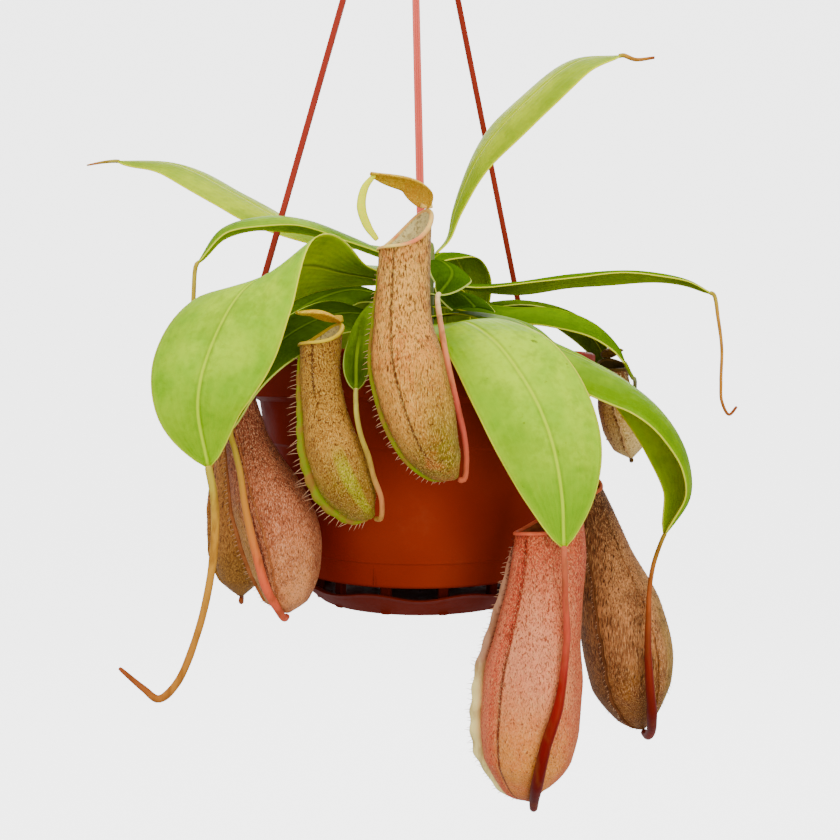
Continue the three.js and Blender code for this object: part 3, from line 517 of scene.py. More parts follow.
LEAVES = {
    "lime_left": dict(
        base=44,
        spine=[(-14, 9, 47), (-33, 14, 50.5), (-59, 22, 59.5), (-86, 32, 75), (-116, 42, 90.5),
               (-145, 50, 94)],
        faces=[UP, (0.3, -0.45, 1), (0.3, -0.45, 1), (0.1, -0.5, 1)],
        width=30, widest=0.6, curl=(0.5, 0.5), look="lime"),
    "arching_left": dict(
        base=38,
        spine=[(-14, -3, 43), (-30, -8, 49.5), (-48, -16, 55), (-64, -24, 55), (-80, -30, 49),
               (-88.5, -34, 35.5)],
        faces=[UP, (0, -0.1, 1), (-0.1, -0.1, 1), (-0.8, -0.1, 0.8)],
        width=27, widest=0.6, curl=(0.7, 0.7), look="arching"),
    "broad_left": dict(
        base=31,
        spine=[(-12, -11, 31), (-30, -28, 32), (-46, -52, 32), (-63, -70, 22), (-74, -80, 0),
               (-77.5, -86, -20), (-74, -86, -42)],
        faces=[UP, (0, 0.5, 0.9), (-0.7, 0.4, 0.8), (-0.6, -0.9, 0.5), (-0.2, -1, 0.2), (0, -1, 0)],
        width=50, widest=0.66, curl=(0.3, 0.3), look="bright"),
    "front_left": dict(
        base=14,
        spine=[(-14, -12, 15), (-32, -34, 15), (-47, -56, 7), (-58, -67, -4), (-65, -73, -16),
               (-68, -75, -29)],
        faces=[UP, (0.1, -0.75, 0.8), (-0.3, -0.65, 0.8), (-0.6, -0.8, 0.3)],
        width=28, widest=0.55, curl=(0.2, 0.3), look="dark"),
    "low_left": dict(
        base=22,
        spine=[(-14, -5, 24.5), (-29, -7, 27), (-44, -13, 22), (-58, -25, 11), (-68, -33, 1)],
        faces=[UP, (0, -0.75, 0.8), (-0.4, -0.8, 0.7)],
        width=21, widest=0.55, curl=(0.5, 0.5), look="dark"),
    "lime_right": dict(
        base=44,
        spine=[(12, 3, 50), (15.5, 1, 62), (26, -4, 85), (46, -8, 107), (66, -12, 121.5), (83.5, -12, 124)],
        faces=[(-1, -0.3, 0.5), (-0.7, -0.5, 0.6), (-0.6, -0.5, 0.7), (-0.2, -0.5, 1)],
        width=36, widest=0.66, curl=(0.3, 0.35), look="lime"),
    "long_right": dict(
        base=33,
        spine=[(20, 0, 30), (39, -2, 30), (66, -4, 33.5), (94, -6, 34.5), (113, -8, 31), (123, -10, 25.5)],
        faces=[UP, (0, 0.1, 1), (0, 0.1, 1), (0.5, 0, 0.9)],
        width=26, widest=0.5, curl=(0.5, 0.5), look="mid"),
    "curling_right": dict(
        base=21,
        spine=[(20, -5, 21.5), (38, -13, 19), (56, -22, 17.5), (71, -28, 11), (80, -30, 2),
               (83, -30, -4.5)],
        faces=[UP, (0, -0.25, 1), (0.3, -0.35, 1), (1, -0.2, 0.3)],
        width=23, widest=0.55, curl=(0.9, 1.2), look="mid"),
    "back_right": dict(
        base=16,
        spine=[(20, 13, 21), (45, 24, 25), (68, 33, 20), (85, 39, 5), (91, 42, -14)],
        faces=[UP, UP, (0.4, 0.2, 1), (0.9, 0.4, 0.2)],
        width=30, widest=0.55, curl=(0.5, 0.5), look="dark",
        tendril=[(92, 43, -32), (90, 46, -40)]),
    "broad_front": dict(
        base=8,
        spine=[(6, -20, 11), (10, -44, 10), (17.5, -64, 9.5), (27, -80, 1.5), (35, -88, -10),
               (40.5, -93, -20.5), (45, -97, -34), (47.8, -99, -51), (48.5, -99.5, -68)],
        faces=[UP, (0, -0.3, 1), (0.1, -0.8, 0.6), (0.15, -1, 0.3), (0.1, -1, 0.1)],
        width=41, widest=0.68, curl=(0.15, 0.35), look="bright_specked"),
    "arching_front": dict(
        base=16,
        spine=[(18, -18, 17), (31, -37, 14), (39, -53, 9.9), (47.5, -65.3, 2), (61, -69, -4.5),
               (77, -68, -13), (89.5, -66, -24.5), (97.5, -62, -38), (100.5, -58, -55), (93, -57, -70)],
        faces=[UP, (0.2, -0.3, 1), (0.4, -0.55, 0.8), (0.75, -0.15, 0.6), (0.95, 0.3, 0.2),
               (0.85, 0.4, -0.3)],
        width=37, widest=0.64, curl=(0.2, 1.5), look="arching"),
    "small_front": dict(
        base=18,
        spine=[(-4, -16, 19), (-14, -42, 20), (-20, -66, 12), (-22.3, -80, -2), (-22.5, -84, -15)],
        faces=[UP, (0, -0.2, 1), (0, -0.9, 0.5), (0, -1, 0.1)],
        width=10, widest=0.9, curl=(0.4, 0.4), look="small"),
    "back_dark": dict(
        base=40,
        spine=[(9, 24, 46), (16, 46, 49), (22, 70, 43), (26, 92, 24), (28, 102, 2)],
        faces=[UP, (0, -0.1, 1), (0.1, 0.4, 1), (0.2, 1, 0.2)],
        width=29, widest=0.5, curl=(0.4, 0.4), look="mid",
        tendril=[(28, 104, -16), (25, 102, -24)]),
    "folded_front": dict(
        base=37,
        spine=[(7, -16, 38.5), (12, -38, 32.5), (11.5, -56, 26.5), (7, -66, 20)],
        faces=[UP, UP, (0.1, -0.2, 1), (0, -0.9, 0.5)],
        width=17, widest=0.62, curl=(0.6, 0.6), look="folded"),
    "trimmed_front": dict(
        base=26,
        spine=[(12, -16, 25.5), (17, -33, 22.5), (21, -46, 17)],
        faces=[UP, (0.1, -0.5, 1), (0.3, -0.9, 0.5)],
        width=20, widest=0.6, cut=0.72, curl=(0.4, 0.4), look="folded"),
    "back_left": dict(
        base=31,
        spine=[(-14, 26, 40), (-34, 52, 43), (-56, 78, 34), (-70, 96, 14), (-76, 103, -8)],
        faces=[UP, UP, (-0.2, 0.3, 1), (-0.7, 0.8, 0.2)],
        width=32, widest=0.55, curl=(0.5, 0.5), look="bright",
        tendril=[(-77, 104, -26), (-74, 102, -36)]),
    "back_middle": dict(
        base=30,
        spine=[(4, 30, 31), (9, 50, 33), (12, 67, 28), (13.5, 82, 12), (13.5, 87, -8)],
        faces=[UP, (0, 0.1, 1), (0, 0.8, 0.7), (0, 1, 0.1)],
        width=27, widest=0.6, curl=(0.3, 0.3), look="mid",
        tendril=[(13, 89, -26), (15, 88, -34)]),
    "back_long": dict(
        base=22,
        spine=[(-6, 31, 27), (-20, 58, 30), (-31, 82, 22), (-37, 97, 2), (-38, 101, -20)],
        faces=[UP, (0, 0.1, 1), (-0.2, 0.7, 0.8), (-0.2, 1, 0.1)],
        width=33, widest=0.6, curl=(0.4, 0.4), look="mid",
        tendril=[(-38.5, 103, -38), (-36, 101, -48)]),
}


def leaf_spine(leaf):
    points = [vec(p) for p in leaf["spine"]]
    if "base" in leaf:
        points.insert(0, beside(leaf["base"], points[0]))
    return Spline(points)


def half_width(leaf, share):
    bulge = math.log(0.5) / math.log(leaf["widest"])
    swell = max(math.sin(math.pi * (share * leaf.get("cut", 1)) ** bulge), 0) ** 0.8
    return mix(mix(PETIOLE_HALF_WIDTH, TIP_HALF_WIDTH, share), leaf["width"] / 2, swell)


def add_blade(builder, leaf, rows=64, columns=18, thickness=BLADE_THICKNESS, waver=0.35):
    """A thin blade, fuller at its midrib and thinner at its margins. Returns its spine."""
    spine = leaf_spine(leaf)
    faces = Spline(leaf["faces"])
    upper, lower = [], []
    across, across_mm, edge_mm, along = [], [], [], []
    for row in range(rows + 1):
        share = row / rows
        t = spine.t_along(share)
        heading = spine.heading(t)
        face = square_to(faces.at(share), heading)
        side = np.cross(heading, face)
        centre = spine.at(t)
        half = half_width(leaf, share)
        bow = mix(*leaf["curl"], share)
        for column in range(columns + 1):
            u = 2 * column / columns - 1
            u = math.copysign(abs(u) ** COLUMN_SPREAD, u)
            bend = bow * u
            point = centre + side * (half * math.sin(bend) / bow) - face * (half * (1 - math.cos(bend)) / bow)
            out = face * math.cos(bend) + side * math.sin(bend)
            wave = math.sin(share * spine.length * RIPPLE_WAVE + RIPPLE_SHIFT * np.sign(u))
            ripple = waver * u * u * wave * min(half / RIPPLE_FULL_WIDTH, 1)
            thick = thickness * (1 - MARGIN_THINNING * u ** 4) / 2
            ridge = RIDGE * math.exp(-((u * half) / RIDGE_HALF_WIDTH) ** 2) * (1 - 0.5 * share)
            upper.append(point + out * (thick + ripple - ridge * 0.5))
            lower.append(point + out * (-thick + ripple - ridge))
            across.append(u)
            across_mm.append(u * half)
            edge_mm.append(half * (1 - abs(u)))
            along.append(share)
    width = columns + 1
    below = len(upper)
    quads, slots = [], []
    for row in range(rows):
        for column in range(columns):
            a = row * width + column
            b, c, d = a + 1, a + width + 1, a + width
            quads += [[a, b, c, d], [below + a, below + d, below + c, below + b]]
            slots += [0, 1]
        left = row * width
        right = left + columns
        quads.append([left, left + width, below + left + width, below + left])
        quads.append([right, below + right, below + right + width, right + width])
        slots += [0, 0]
    for column in range(columns):
        end = rows * width + column
        quads.append([column, below + column, below + column + 1, column + 1])
        quads.append([end, end + 1, below + end + 1, below + end])
        slots += [0, 0]
    builder.add(upper + lower, quads, slots, across=across * 2, across_mm=across_mm * 2,
                edge_mm=edge_mm * 2, along=along * 2)
    return spine


def leaf_look(name, face, back, rib, margin, **more):
    """The two materials of a leaf. Face and back each hold a young, an old and a shaded green."""
    return (
        leaf_paint(f"{name}_face", *face, rib, margin, **more),
        leaf_paint(f"{name}_back", *back, BACK_RIB, margin, roughness=0.5, specular=0.0),
    )


BACK_RIB = "#a0b218"
YELLOW_MARGIN = "#e2e83c"
# Undersides of the brighter leaves: their own paler green, lightened further as painted light that shines
# through the blade
BRIGHT_BACK = ("#b0cc02", "#9cbc00", "#789600")
# The mid, folded, small and dark looks are shaded copies of the leaf greens: painted shade for leaves that
# lie under others
LOOKS = {
    "lime": leaf_look(
        "leaf_lime", ("#bcd000", "#9eba00", "#7a9800"), ("#bcd000", "#9cb600", "#769200"), "#d8e600",
        "#f3f600", glow=0.4, specular=0.08),
    "bright": leaf_look(
        "leaf_bright", ("#bae000", "#94c800", "#649600"), BRIGHT_BACK, "#cce606", YELLOW_MARGIN,
        specular=0.08),
    "bright_specked": leaf_look(
        "leaf_front", ("#bae000", "#98ca00", "#689a00"), BRIGHT_BACK, "#cee80a", YELLOW_MARGIN, specks=0.9,
        specular=0.08),
    "arching": leaf_look(
        "leaf_arching", ("#92ba00", "#74a000", "#527800"), BRIGHT_BACK, "#aacc06", YELLOW_MARGIN,
        specular=0.04),
    "mid": leaf_look(
        "leaf_mid", ("#688e00", "#547a00", "#3c5e00"), ("#92ae04", "#7e9a02", "#627c00"), "#8caa06",
        YELLOW_MARGIN, specular=0.0),
    "folded": leaf_look(
        "leaf_folded", ("#426400", "#365600", "#264000"), ("#466600", "#385600", "#284000"), "#587806",
        "#c8d464", specular=0.0),
    "small": leaf_look(
        "leaf_small", ("#6e8c0e", "#547004", "#223600"), ("#6e8c0e", "#547004", "#223600"), "#829c1e",
        "#aabe50", specular=0.0, clear_from=0.78),
    "dark": leaf_look(
        "leaf_dark", ("#607e00", "#4c6800", "#344c00"), ("#627a06", "#4e6602", "#364a00"), "#76940a",
        "#cedc5a", specular=0.0),
}
TAN_STOPS = [(0.0, "#beaa36"), (0.25, "#cd9232"), (0.7, "#be7c2c"), (1.0, "#964a24")]
TENDRIL_TAN = graded_paint("tendril_tan", TAN_STOPS)
FREE_RADII = [0.8, 0.85, 0.8, 0.6]

for leaf_name, leaf in LEAVES.items():
    builder = Builder()
    spine = add_blade(builder, leaf)
    if "tendril" in leaf:
        tip, heading = spine.at(1), spine.heading(1)
        add_tube(builder, [tip - heading * 2, tip] + leaf["tendril"], FREE_RADII, slot=2, steps=30)
    builder.make(f"{leaf_name}_blade", [*LOOKS[leaf["look"]], TENDRIL_TAN], f"leaf_{leaf_name}")


# Pitchers, as in the part's source: stations of (x, y, z, radius) from foot to mouth, the way to the
# back, and how much higher the lip is there
PITCHERS = {
    1: dict(
        stations=[(12.3, -92, -45, 1.4), (8.6, -94, -41, 6.6), (3.6, -95, -33, 10.1),
                  (-0.5, -95, -21, 12.2), (-4, -95, -7, 12.4), (-5.8, -95, 8, 9.9), (-5.6, -94.5, 20, 9),
                  (-5.2, -94, 32, 8.8)],
        back=(0.78, 0.62, 0), rise=15, wing=1.6, lid=[(-1.5, -92, 55), (-16.5, -98, 57.5)], lid_width=15,
        bristle=2.4, wing_look="green",
        strap=[(-15, -97.5, 57.2), (-18.5, -98, 52.5), (-19.6, -98, 46), (-17.6, -97, 40),
               (-14.4, -95.5, 35.6)]),
    2: dict(
        stations=[(-16.9, -78, -60.5, 1.2), (-20.5, -79, -57, 6.2), (-26.6, -80, -47, 10),
                  (-31, -80, -35.5, 9.6), (-34, -79, -22, 7.8), (-35.6, -78, -9, 7.2),
                  (-35.4, -77, 0.5, 7.5)],
        back=(0.75, 0.66, 0), rise=8.5, wing=3.2, lid=[(-36.5, -77, 13), (-44, -80, 12.4)], lid_width=12,
        bristle=4.2, wing_look="green"),
    3: dict(
        stations=[(-50.5, -58, -99.6, 1.4), (-50.5, -58, -95, 8), (-50.6, -58, -84, 12.8),
                  (-52.7, -58, -70, 15), (-57, -59, -57, 14.2), (-61.4, -60, -45, 10.8),
                  (-65, -60, -34, 8.2), (-68.5, -59.5, -22.5, 7.6)],
        back=(0.75, 0.66, 0), rise=6, wing=1.6, lid=[(-69, -58, -12), (-76, -61, -12.5)], lid_width=10,
        bristle=1.8, wing_look="tan"),
    4: dict(
        stations=[(-73.5, -28, -99.5, 1.4), (-73.3, -28, -93, 8), (-73.4, -28, -80, 11.6),
                  (-74.3, -28, -63, 11.2), (-76, -28, -48, 8), (-77.4, -28, -36, 6.2),
                  (-78, -28, -27, 6.2)],
        back=(0.8, -0.6, 0), rise=7, wing=4, lid=[(-78, -29, -16), (-86, -26, -17)], lid_width=9,
        bristle=1.6, wing_look="mauve"),
    5: dict(
        stations=[(40, -82, -161.8, 1.6), (38.5, -82, -156, 9), (38.5, -82, -146, 15.6),
                  (39.3, -82, -133, 17.6), (40.3, -82, -119, 17.6), (42, -82, -103, 15.2),
                  (44.6, -81.5, -86, 13.4), (46, -81, -74, 13), (46, -80, -66.5, 12)],
        back=(0.85, 0.5, 0), rise=11, wing=4, lid=[(48, -79, -50.5), (36, -84, -51)], lid_width=14,
        bristle=2.2, wing_look="cream", ribs=[(172, 16, 0.9)]),
    6: dict(
        stations=[(87.8, -45, -148.6, 1.6), (85.8, -45, -143, 8.6), (83.2, -45, -131, 15.6),
                  (81.6, -45, -117, 17.4), (78, -45, -101, 16.4), (72.4, -45, -81, 11),
                  (68.2, -45, -66, 8.4), (64.6, -45, -56, 7)],
        back=(0.1, 0.99, 0), rise=7, wing=1.6, lid=[(63, -45, -45), (59, -55, -45.5)], lid_width=10,
        bristle=1.8, wing_look="brown"),
    7: dict(
        stations=[(94, 9, -45.6, 1.2), (93, 9, -41, 7), (91, 9, -31, 10), (88, 9, -22, 9.2),
                  (86, 9, -13, 7), (85.5, 9, -7, 6.6)],
        back=(-0.2, 0.9, 0), rise=5, wing=1.6, lid=[(85, 8, 2.5), (86.5, -1, 2)], lid_width=9,
        bristle=1.5, wing_look="straw"),
}

DARK_DASH = "#54260c"
SEAM_RED = "#64180c"
CUP_LOOKS = {
    1: cup_paint(
        "cup_1", "#ffb854", "#ffa84a", "#82680e", DARK_DASH, foot="#786004",
        light="#ffd26e", tint="#d26a2e", size=2100, amount=0.75,
        # The marks at 320 and 142 degrees are painted shade down the cup's right and left sides
        marks=[(320, 34, -0.1, 1.2, 0.6, "#784218"), (280, 60, -0.1, 0.45, 0.6, "#827804"),
               (180, 24, -0.2, 0.1, 0.7, "#ce5a32"), (142, 26, 0.3, 1.2, 0.7, "#78341e"),
               (209, 4.5, 0.22, 1.2, 0.85, "#542410")]),
    2: cup_paint(
        "cup_2", "#ba882c", "#ce9038", "#88700e", DARK_DASH, foot="#847808",
        light="#ecc460", size=2100, stretch=0.5, tint="#9e6422",
        # The mark at 320 degrees is painted shade down the cup's right side
        marks=[(320, 30, 0.0, 1.2, 0.5, "#785014"), (212, 6, 0.72, 1.1, 0.9, "#4a1e0e"),
               (240, 18, 0.12, 0.46, 0.6, "#b0be00"), (150, 30, 0.0, 0.4, 0.4, "#96a00a")]),
    3: cup_paint(
        "cup_3", "#8c4228", "#ce7246", "#f39c5a", "#42160a", foot="#ce7838",
        # pale is a painted highlight low on the cup
        light="#ffbe8c", pale="#ffe8a0", size=2400, stretch=0.3, lean=0.25,
        tint="#96462a", amount=0.65,
        # The mark at 312 degrees is painted shade down the cup's right side
        marks=[(170, 22, -0.1, 0.6, 0.7, "#be8c28"), (312, 42, -0.1, 1.2, 0.6, "#8c3e22"),
               (204, 5, 0.05, 1.2, 0.9, SEAM_RED)]),
    4: cup_paint(
        "cup_4", "#be763c", "#b87438", "#966428", "#46220e", foot="#82561e",
        light="#dca050", size=2400),
    5: cup_paint(
        "cup_5", "#dc6040", "#ff9664", "#f39638", "#8c301a", foot="#c43418",
        light="#ffc080", size=2300, amount=0.7, stretch=0.4, tint="#ec6438",
        # The first mark, at 222 degrees, is a painted highlight on the front of the cup
        marks=[(222, 44, 0.46, 0.74, 0.6, "#ffa076"), (222, 40, 0.2, 0.42, 0.5, "#ffa242"),
               (316, 46, 0.0, 1.2, 0.7, "#c84228"), (172, 26, -0.2, 1.2, 0.85, "#de4c32"),
               (174, 9, 0.1, 0.9, 0.5, "#ff8860"), (195, 4, 0.02, 0.9, 1.0, SEAM_RED),
               (192, 6, 0.6, 1.1, 0.8, "#be1a14")]),
    6: cup_paint(
        "cup_6", "#46200e", "#de9254", "#8c5214", "#321408", foot="#7c440c",
        light="#f3b474", lean=0.35, streak=0.2, tint="#784222", stretch=0.1, size=3000,
        amount=0.75, marks=[(120, 30, 0.0, 1.2, 0.5, "#502814"), (262, 40, 0.1, 0.6, 0.5, "#787e06")]),
    # Painted shade: this cup's mouth end is dark because it lies in the leaves' shade
    7: cup_paint(
        "cup_7", "#543216", "#c8a050", "#debe74", "#6e421a",
        light="#f0d28c", size=1100, stretch=0.8),
}
INSIDE = cup_paint("cup_inside", "#ffeca0", "#ffe08c", "#d2aa50", "#6e3c18",
                   amount=0.35, size=900, stretch=1)
INSIDE_DARK = plain_paint("cup_inside_dark", "#a05432", "#783c22", 0.45, scale=600, amount=0.5)
INSIDE_SHADED = plain_paint("cup_inside_shaded", "#2c2208", "#1c1806", 0.6, scale=600, amount=0.5)
LIPS = {
    1: plain_paint("lip_peach", "#ffe26e", "#f38254", 0.35, scale=90, amount=1.0),
    2: plain_paint("lip_straw", "#d6b81e", "#be8c28", 0.35, scale=180, amount=0.6),
    # Painted shade: pitcher 7's lip lies in the leaves' shade
    7: plain_paint("lip_shaded", "#463210", "#2e220a", 0.5, scale=180, amount=0.6),
    3: plain_paint("lip_rust", "#ba5c32", "#963c24", 0.35, scale=180, amount=0.6),
    5: plain_paint("lip_pink", "#ec7048", "#ce4a32", 0.35, scale=180, amount=0.6),
}
WINGS = {
    "green": plain_paint("wing_green", "#7a8a18", "#96682c", 0.6, scale=260, amount=1.0, specular=0.05),
    "tan": plain_paint("wing_tan", "#b06838", "#824622", 0.6, scale=220, amount=0.8),
    "straw": plain_paint("wing_straw", "#be965a", "#825a2c", 0.6, scale=260, amount=0.8),
    "brown": plain_paint("wing_brown", "#6a3c1e", "#4a2612", 0.6, scale=260, amount=0.8),
    "mauve": plain_paint("wing_mauve", "#e29c82", "#c87868", 0.6, scale=260, glow=0.2),
    "cream": graded_paint(
        "wing_cream", [(0.0, "#ffec96"), (0.5, "#ffe896"), (0.62, "#be8c6a"),
                       (1.0, "#aa7054")], 0.6),
}
BRISTLE = plain_paint("bristle", "#e2b488", "#ce825c", 0.5, glow=0.2)
BRISTLE_DARK = plain_paint("bristle_dark", "#702818", "#501c10", 0.5)
LID = cup_paint("lid_yellow", "#ffd81e", "#ffcc14", "#f3b41e", "#a05a0c", size=1500,
                amount=0.35, stretch=0.8, light="#fff05a", tint="#e29c1e", streak=-0.15)
LID_SHADED = plain_paint("lid_shaded", "#6e4e1a", "#462c10", 0.6, scale=500, amount=0.8)
INSIDES = {1: INSIDE, 2: INSIDE, **dict.fromkeys((3, 4, 5, 6), INSIDE_DARK), 7: INSIDE_SHADED}
STRAP = plain_paint("lid_strap", "#faff14", "#e6ec10", 0.5, glow=0.4, specular=0.1)

CUP_SIDES = 72
CUP_ANGLES = [2 * math.pi * i / CUP_SIDES for i in range(CUP_SIDES)]
CUP_ROWS = 64
HOLLOW_ROWS = 24
FOOT_DROP = 0.3
FOOT_SHARES = (0.15, 0.55, 0.85)
BOTTOM_SHARES = (0.8, 0.45, 0.12)
LIP_STEPS = 10
LIP_START = -30
LIP_TURN = 240
WING_ROWS = 90
WING_SPAN = (0.02, 0.93)
WING_FOOT = 0.45
WING_EDGE = 0.18
WING_WAVE = 0.02
RUFFLE = 0.08
RUFFLED_HEIGHT = 2
BRISTLE_SPACING = 1.7
FRONT_SPACING = 2.6
HAIRY_SPAN = (0.08, 0.97)
NECK_SHARE = 0.16
NECK_HEIGHT = 2.6
LID_THICKNESS = 0.9
STRAP_RADII = [0.7, 1.3, 1.6, 1.5, 0.9]


class Cup:
    """A cup round its line from foot to mouth. Angles start at its back, in radians."""

    def __init__(self, pitcher):
        self.pitcher = pitcher
        self.line = Spline([s[:3] for s in pitcher["stations"]])
        self.radii = Spline([(s[3], 0, 0) for s in pitcher["stations"]])

    def axes(self, t):
        heading = self.line.heading(t)
        back = square_to(vec(self.pitcher["back"]), heading)
        return self.line.at(t), heading, self.radii.at(t)[0], back, np.cross(heading, back)

    def relief(self, angle, t):
        """How far the broad ribs stand out at one place round the cup."""
        out = 0.0
        for degrees, half, height in self.pitcher.get("ribs", []):
            away = (math.degrees(angle) - degrees + 180) % 360 - 180
            out += height * math.exp(-((away / half) ** 2)) * smooth(0, 0.1, t) * smooth(1, 0.9, t)
        return out

    def place(self, axes, angle, grow, lift):
        """A place off the wall, lifted most at the back, and the way out there."""
        middle, heading, radius, back, side = axes
        out = back * math.cos(angle) + side * math.sin(angle)
        return middle + out * (radius + grow) + heading * (lift * ((1 + math.cos(angle)) / 2) ** 2), out

    def point(self, t, angle, grow=0.0, lift=0.0):
        """A place off the wall and the ways out and up the cup there."""
        axes = self.axes(t)
        return *self.place(axes, angle, grow, lift), axes[1]

    def ring(self, t, grow=0.0, lift=0.0):
        """A ring of places off the wall. With no growth it follows the ribs."""
        axes = self.axes(t)
        return [self.place(axes, angle, grow or self.relief(angle, t), lift)[0] for angle in CUP_ANGLES]


# Numbers of the materials in a cup's list
OUTSIDE, LIP, HOLLOW, FIN, HAIR, TAN, DARK_HAIR = range(7)


def add_cup(builder, cup):
    """Outside from foot to mouth, over a rolled lip, and down the inside to the bottom of the hollow."""
    rise = cup.pitcher["rise"]
    rings, levels, slots = [], [], []

    def keep(ring, level, slot):
        rings.append(ring)
        levels.append(level)
        slots.append(slot)

    def keep_wall(t, grow, slot):
        keep(cup.ring(t, grow, (rise - LIP_HEIGHT / 2) * smooth(LIFT_FROM, 1, t)), t, slot)

    foot, foot_heading = cup.axes(0)[:2]
    for share in FOOT_SHARES:
        sink = foot_heading * (FOOT_DROP * (1 - share * share))
        keep([foot + (p - foot) * share - sink for p in cup.ring(0)], 0, OUTSIDE)
    for row in range(CUP_ROWS + 1):
        keep_wall(row / CUP_ROWS, 0, OUTSIDE)
    rim = cup.ring(1, -0.05, rise)
    _, heading, _, back, side = cup.axes(1)
    roll = LIP_ROLL * 0.95
    for step in range(LIP_STEPS + 1):
        turn = math.radians(LIP_START + LIP_TURN * step / LIP_STEPS)
        ring = []
        for i, angle in enumerate(CUP_ANGLES):
            tangent = unit(rim[(i + 1) % CUP_SIDES] - rim[i - 1])
            out = square_to(back * math.cos(angle) + side * math.sin(angle), tangent)
            up = np.cross(out, tangent)
            up = up if np.dot(up, heading) > 0 else -up
            ring.append(rim[i] + out * (roll * math.cos(turn)) + up * (roll * math.sin(turn)))
        keep(ring, 1, LIP)
    for row in range(HOLLOW_ROWS, -1, -1):
        keep_wall(mix(HOLLOW_FROM, 1, row / HOLLOW_ROWS), -CUP_WALL, HOLLOW)
    base = np.mean(rings[-1], axis=0)
    down = cup.axes(HOLLOW_FROM)[1]
    for share in BOTTOM_SHARES:
        keep([base + (p - base) * share - down * (1 - share) for p in rings[-1]], HOLLOW_FROM, HOLLOW)
    turns = CUP_ANGLES * len(rings)
    face_slots = [slot for slot in slots[1:] for _ in CUP_ANGLES] + [OUTSIDE, HOLLOW]
    builder.add([p for ring in rings for p in ring], ring_faces(len(rings), CUP_SIDES), face_slots,
                along=np.repeat(levels, CUP_SIDES), turn_x=np.cos(turns), turn_y=np.sin(turns))


def add_wing(builder, cup, degrees, height, slot, length, spacing):
    """A thin fin down the cup with a fringe of bristles."""
    angle = math.radians(degrees)
    profile, edge = [], []
    for row in range(WING_ROWS + 1):
        t = mix(*WING_SPAN, row / WING_ROWS)
        fin = height * math.sin(math.pi * t ** 0.7)
        if height > RUFFLED_HEIGHT:
            fin *= 1 + RUFFLE * math.sin(row * 0.9)
        wave = WING_WAVE * math.sin(row * 0.7)
        foot, out, heading = cup.point(t, angle + wave * 0.4, -0.3)
        top = cup.point(t, angle + wave, fin)[0]
        across = np.cross(heading, out)
        wide, thin = across * WING_FOOT, across * WING_EDGE
        profile += [foot - wide, top - thin, top + thin, foot + wide]
        edge.append((t, top, unit(top - foot), heading))
    along = np.repeat([row / WING_ROWS for row in range(WING_ROWS + 1)], 4)
    builder.add(profile, ring_faces(WING_ROWS + 1, 4), slot, along=along)
    run = 0.0
    for (t, here, out, heading), (_, after, _, _) in zip(edge, edge[1:]):
        run += np.linalg.norm(after - here)
        if run < spacing:
            continue
        run -= spacing * random.uniform(0.8, 1.2)
        reach = length * random.uniform(0.6, 1.1) * (0.55 + 0.45 * math.sin(math.pi * t))
        aim = out + heading * random.uniform(-0.5, 0.25)
        aim = aim + vec([random.uniform(-0.25, 0.25) for _ in range(3)])
        tip = here + unit(aim) * reach
        add_spike(builder, here - out * 0.2, tip, BRISTLE_RADIUS, HAIR, (0, 0, BRISTLE_SAG * reach), 3)


def add_hairs(builder, cup, count, length, droop, slot):
    """Fine short hairs all over a cup, combed towards its foot."""
    for _ in range(count):
        t = random.uniform(*HAIRY_SPAN) ** 0.8
        angle = random.uniform(0, 2 * math.pi)
        foot, out, heading = cup.point(t, angle, cup.relief(angle, t) - 0.05)
        aside = np.cross(heading, out) * random.uniform(-0.5, 0.5)
        reach = length * random.uniform(0.5, 1.2)
        tip = foot + unit(out - heading * droop + aside) * reach
        add_spike(builder, foot, tip, HAIR_RADIUS, slot, steps=1)


def add_stitches(builder, cup, places, start, end, spacing, length):
    """Short dark bristles in pairs beside a band down the cup."""
    rows = int((end - start) * cup.line.length / spacing)
    for row in range(rows):
        for degrees, way in zip(places, (-1, 1)):
            t = mix(start, end, (row + random.uniform(0.2, 0.8)) / rows)
            foot, out, heading = cup.point(t, math.radians(degrees), 0.3)
            aside = np.cross(heading, out) * way
            aim = out * 0.4 + aside * random.uniform(0.3, 1.0) + heading * random.uniform(-0.9, 0.3)
            reach = length * random.uniform(0.6, 1.2)
            add_spike(builder, foot, foot + unit(aim) * reach, STITCH_RADIUS, DARK_HAIR)


# The pitchers whose lid lies in the leaves' shade
SHADED = (4, 6, 7)

# The cups whose second fin faces the front, and its material
FRONT_FIN = {3: TAN, 4: OUTSIDE, 6: OUTSIDE}

# Places round the cup in degrees, the shares of its length, spacing and length
STITCHES = {5: ((152, 192), 0.55, 0.99, 1.3, 2.4)}

# Number of hairs, their length, how far they droop, and their material
HAIRS = {
    1: (500, 0.8, 1.0, HAIR),
    2: (500, 0.7, 1.0, HAIR),
    3: (700, 0.9, 1.4, DARK_HAIR),
    5: (900, 0.8, 1.2, HAIR),
    6: (1100, 1.5, 1.6, DARK_HAIR),
}


def make_cup(number, cup, lip):
    """The cup with its fins, bristles and hairs."""
    builder = Builder()
    add_cup(builder, cup)
    height, bristle = cup.pitcher["wing"], cup.pitcher["bristle"]
    add_wing(builder, cup, 180 - WING_ANGLE, height, FIN, bristle, BRISTLE_SPACING)
    if number in FRONT_FIN:
        add_wing(builder, cup, 180 + WING_ANGLE, height / 2, FRONT_FIN[number], bristle / 2, FRONT_SPACING)
    if number in HAIRS:
        add_hairs(builder, cup, *HAIRS[number])
    if number in STITCHES:
        add_stitches(builder, cup, *STITCHES[number])
    fin = WINGS[cup.pitcher["wing_look"]]
    materials = [CUP_LOOKS[number], lip, INSIDES[number], fin, BRISTLE, WINGS["tan"], BRISTLE_DARK]
    builder.make(f"cup_{number}", materials, f"pitcher_{number}")


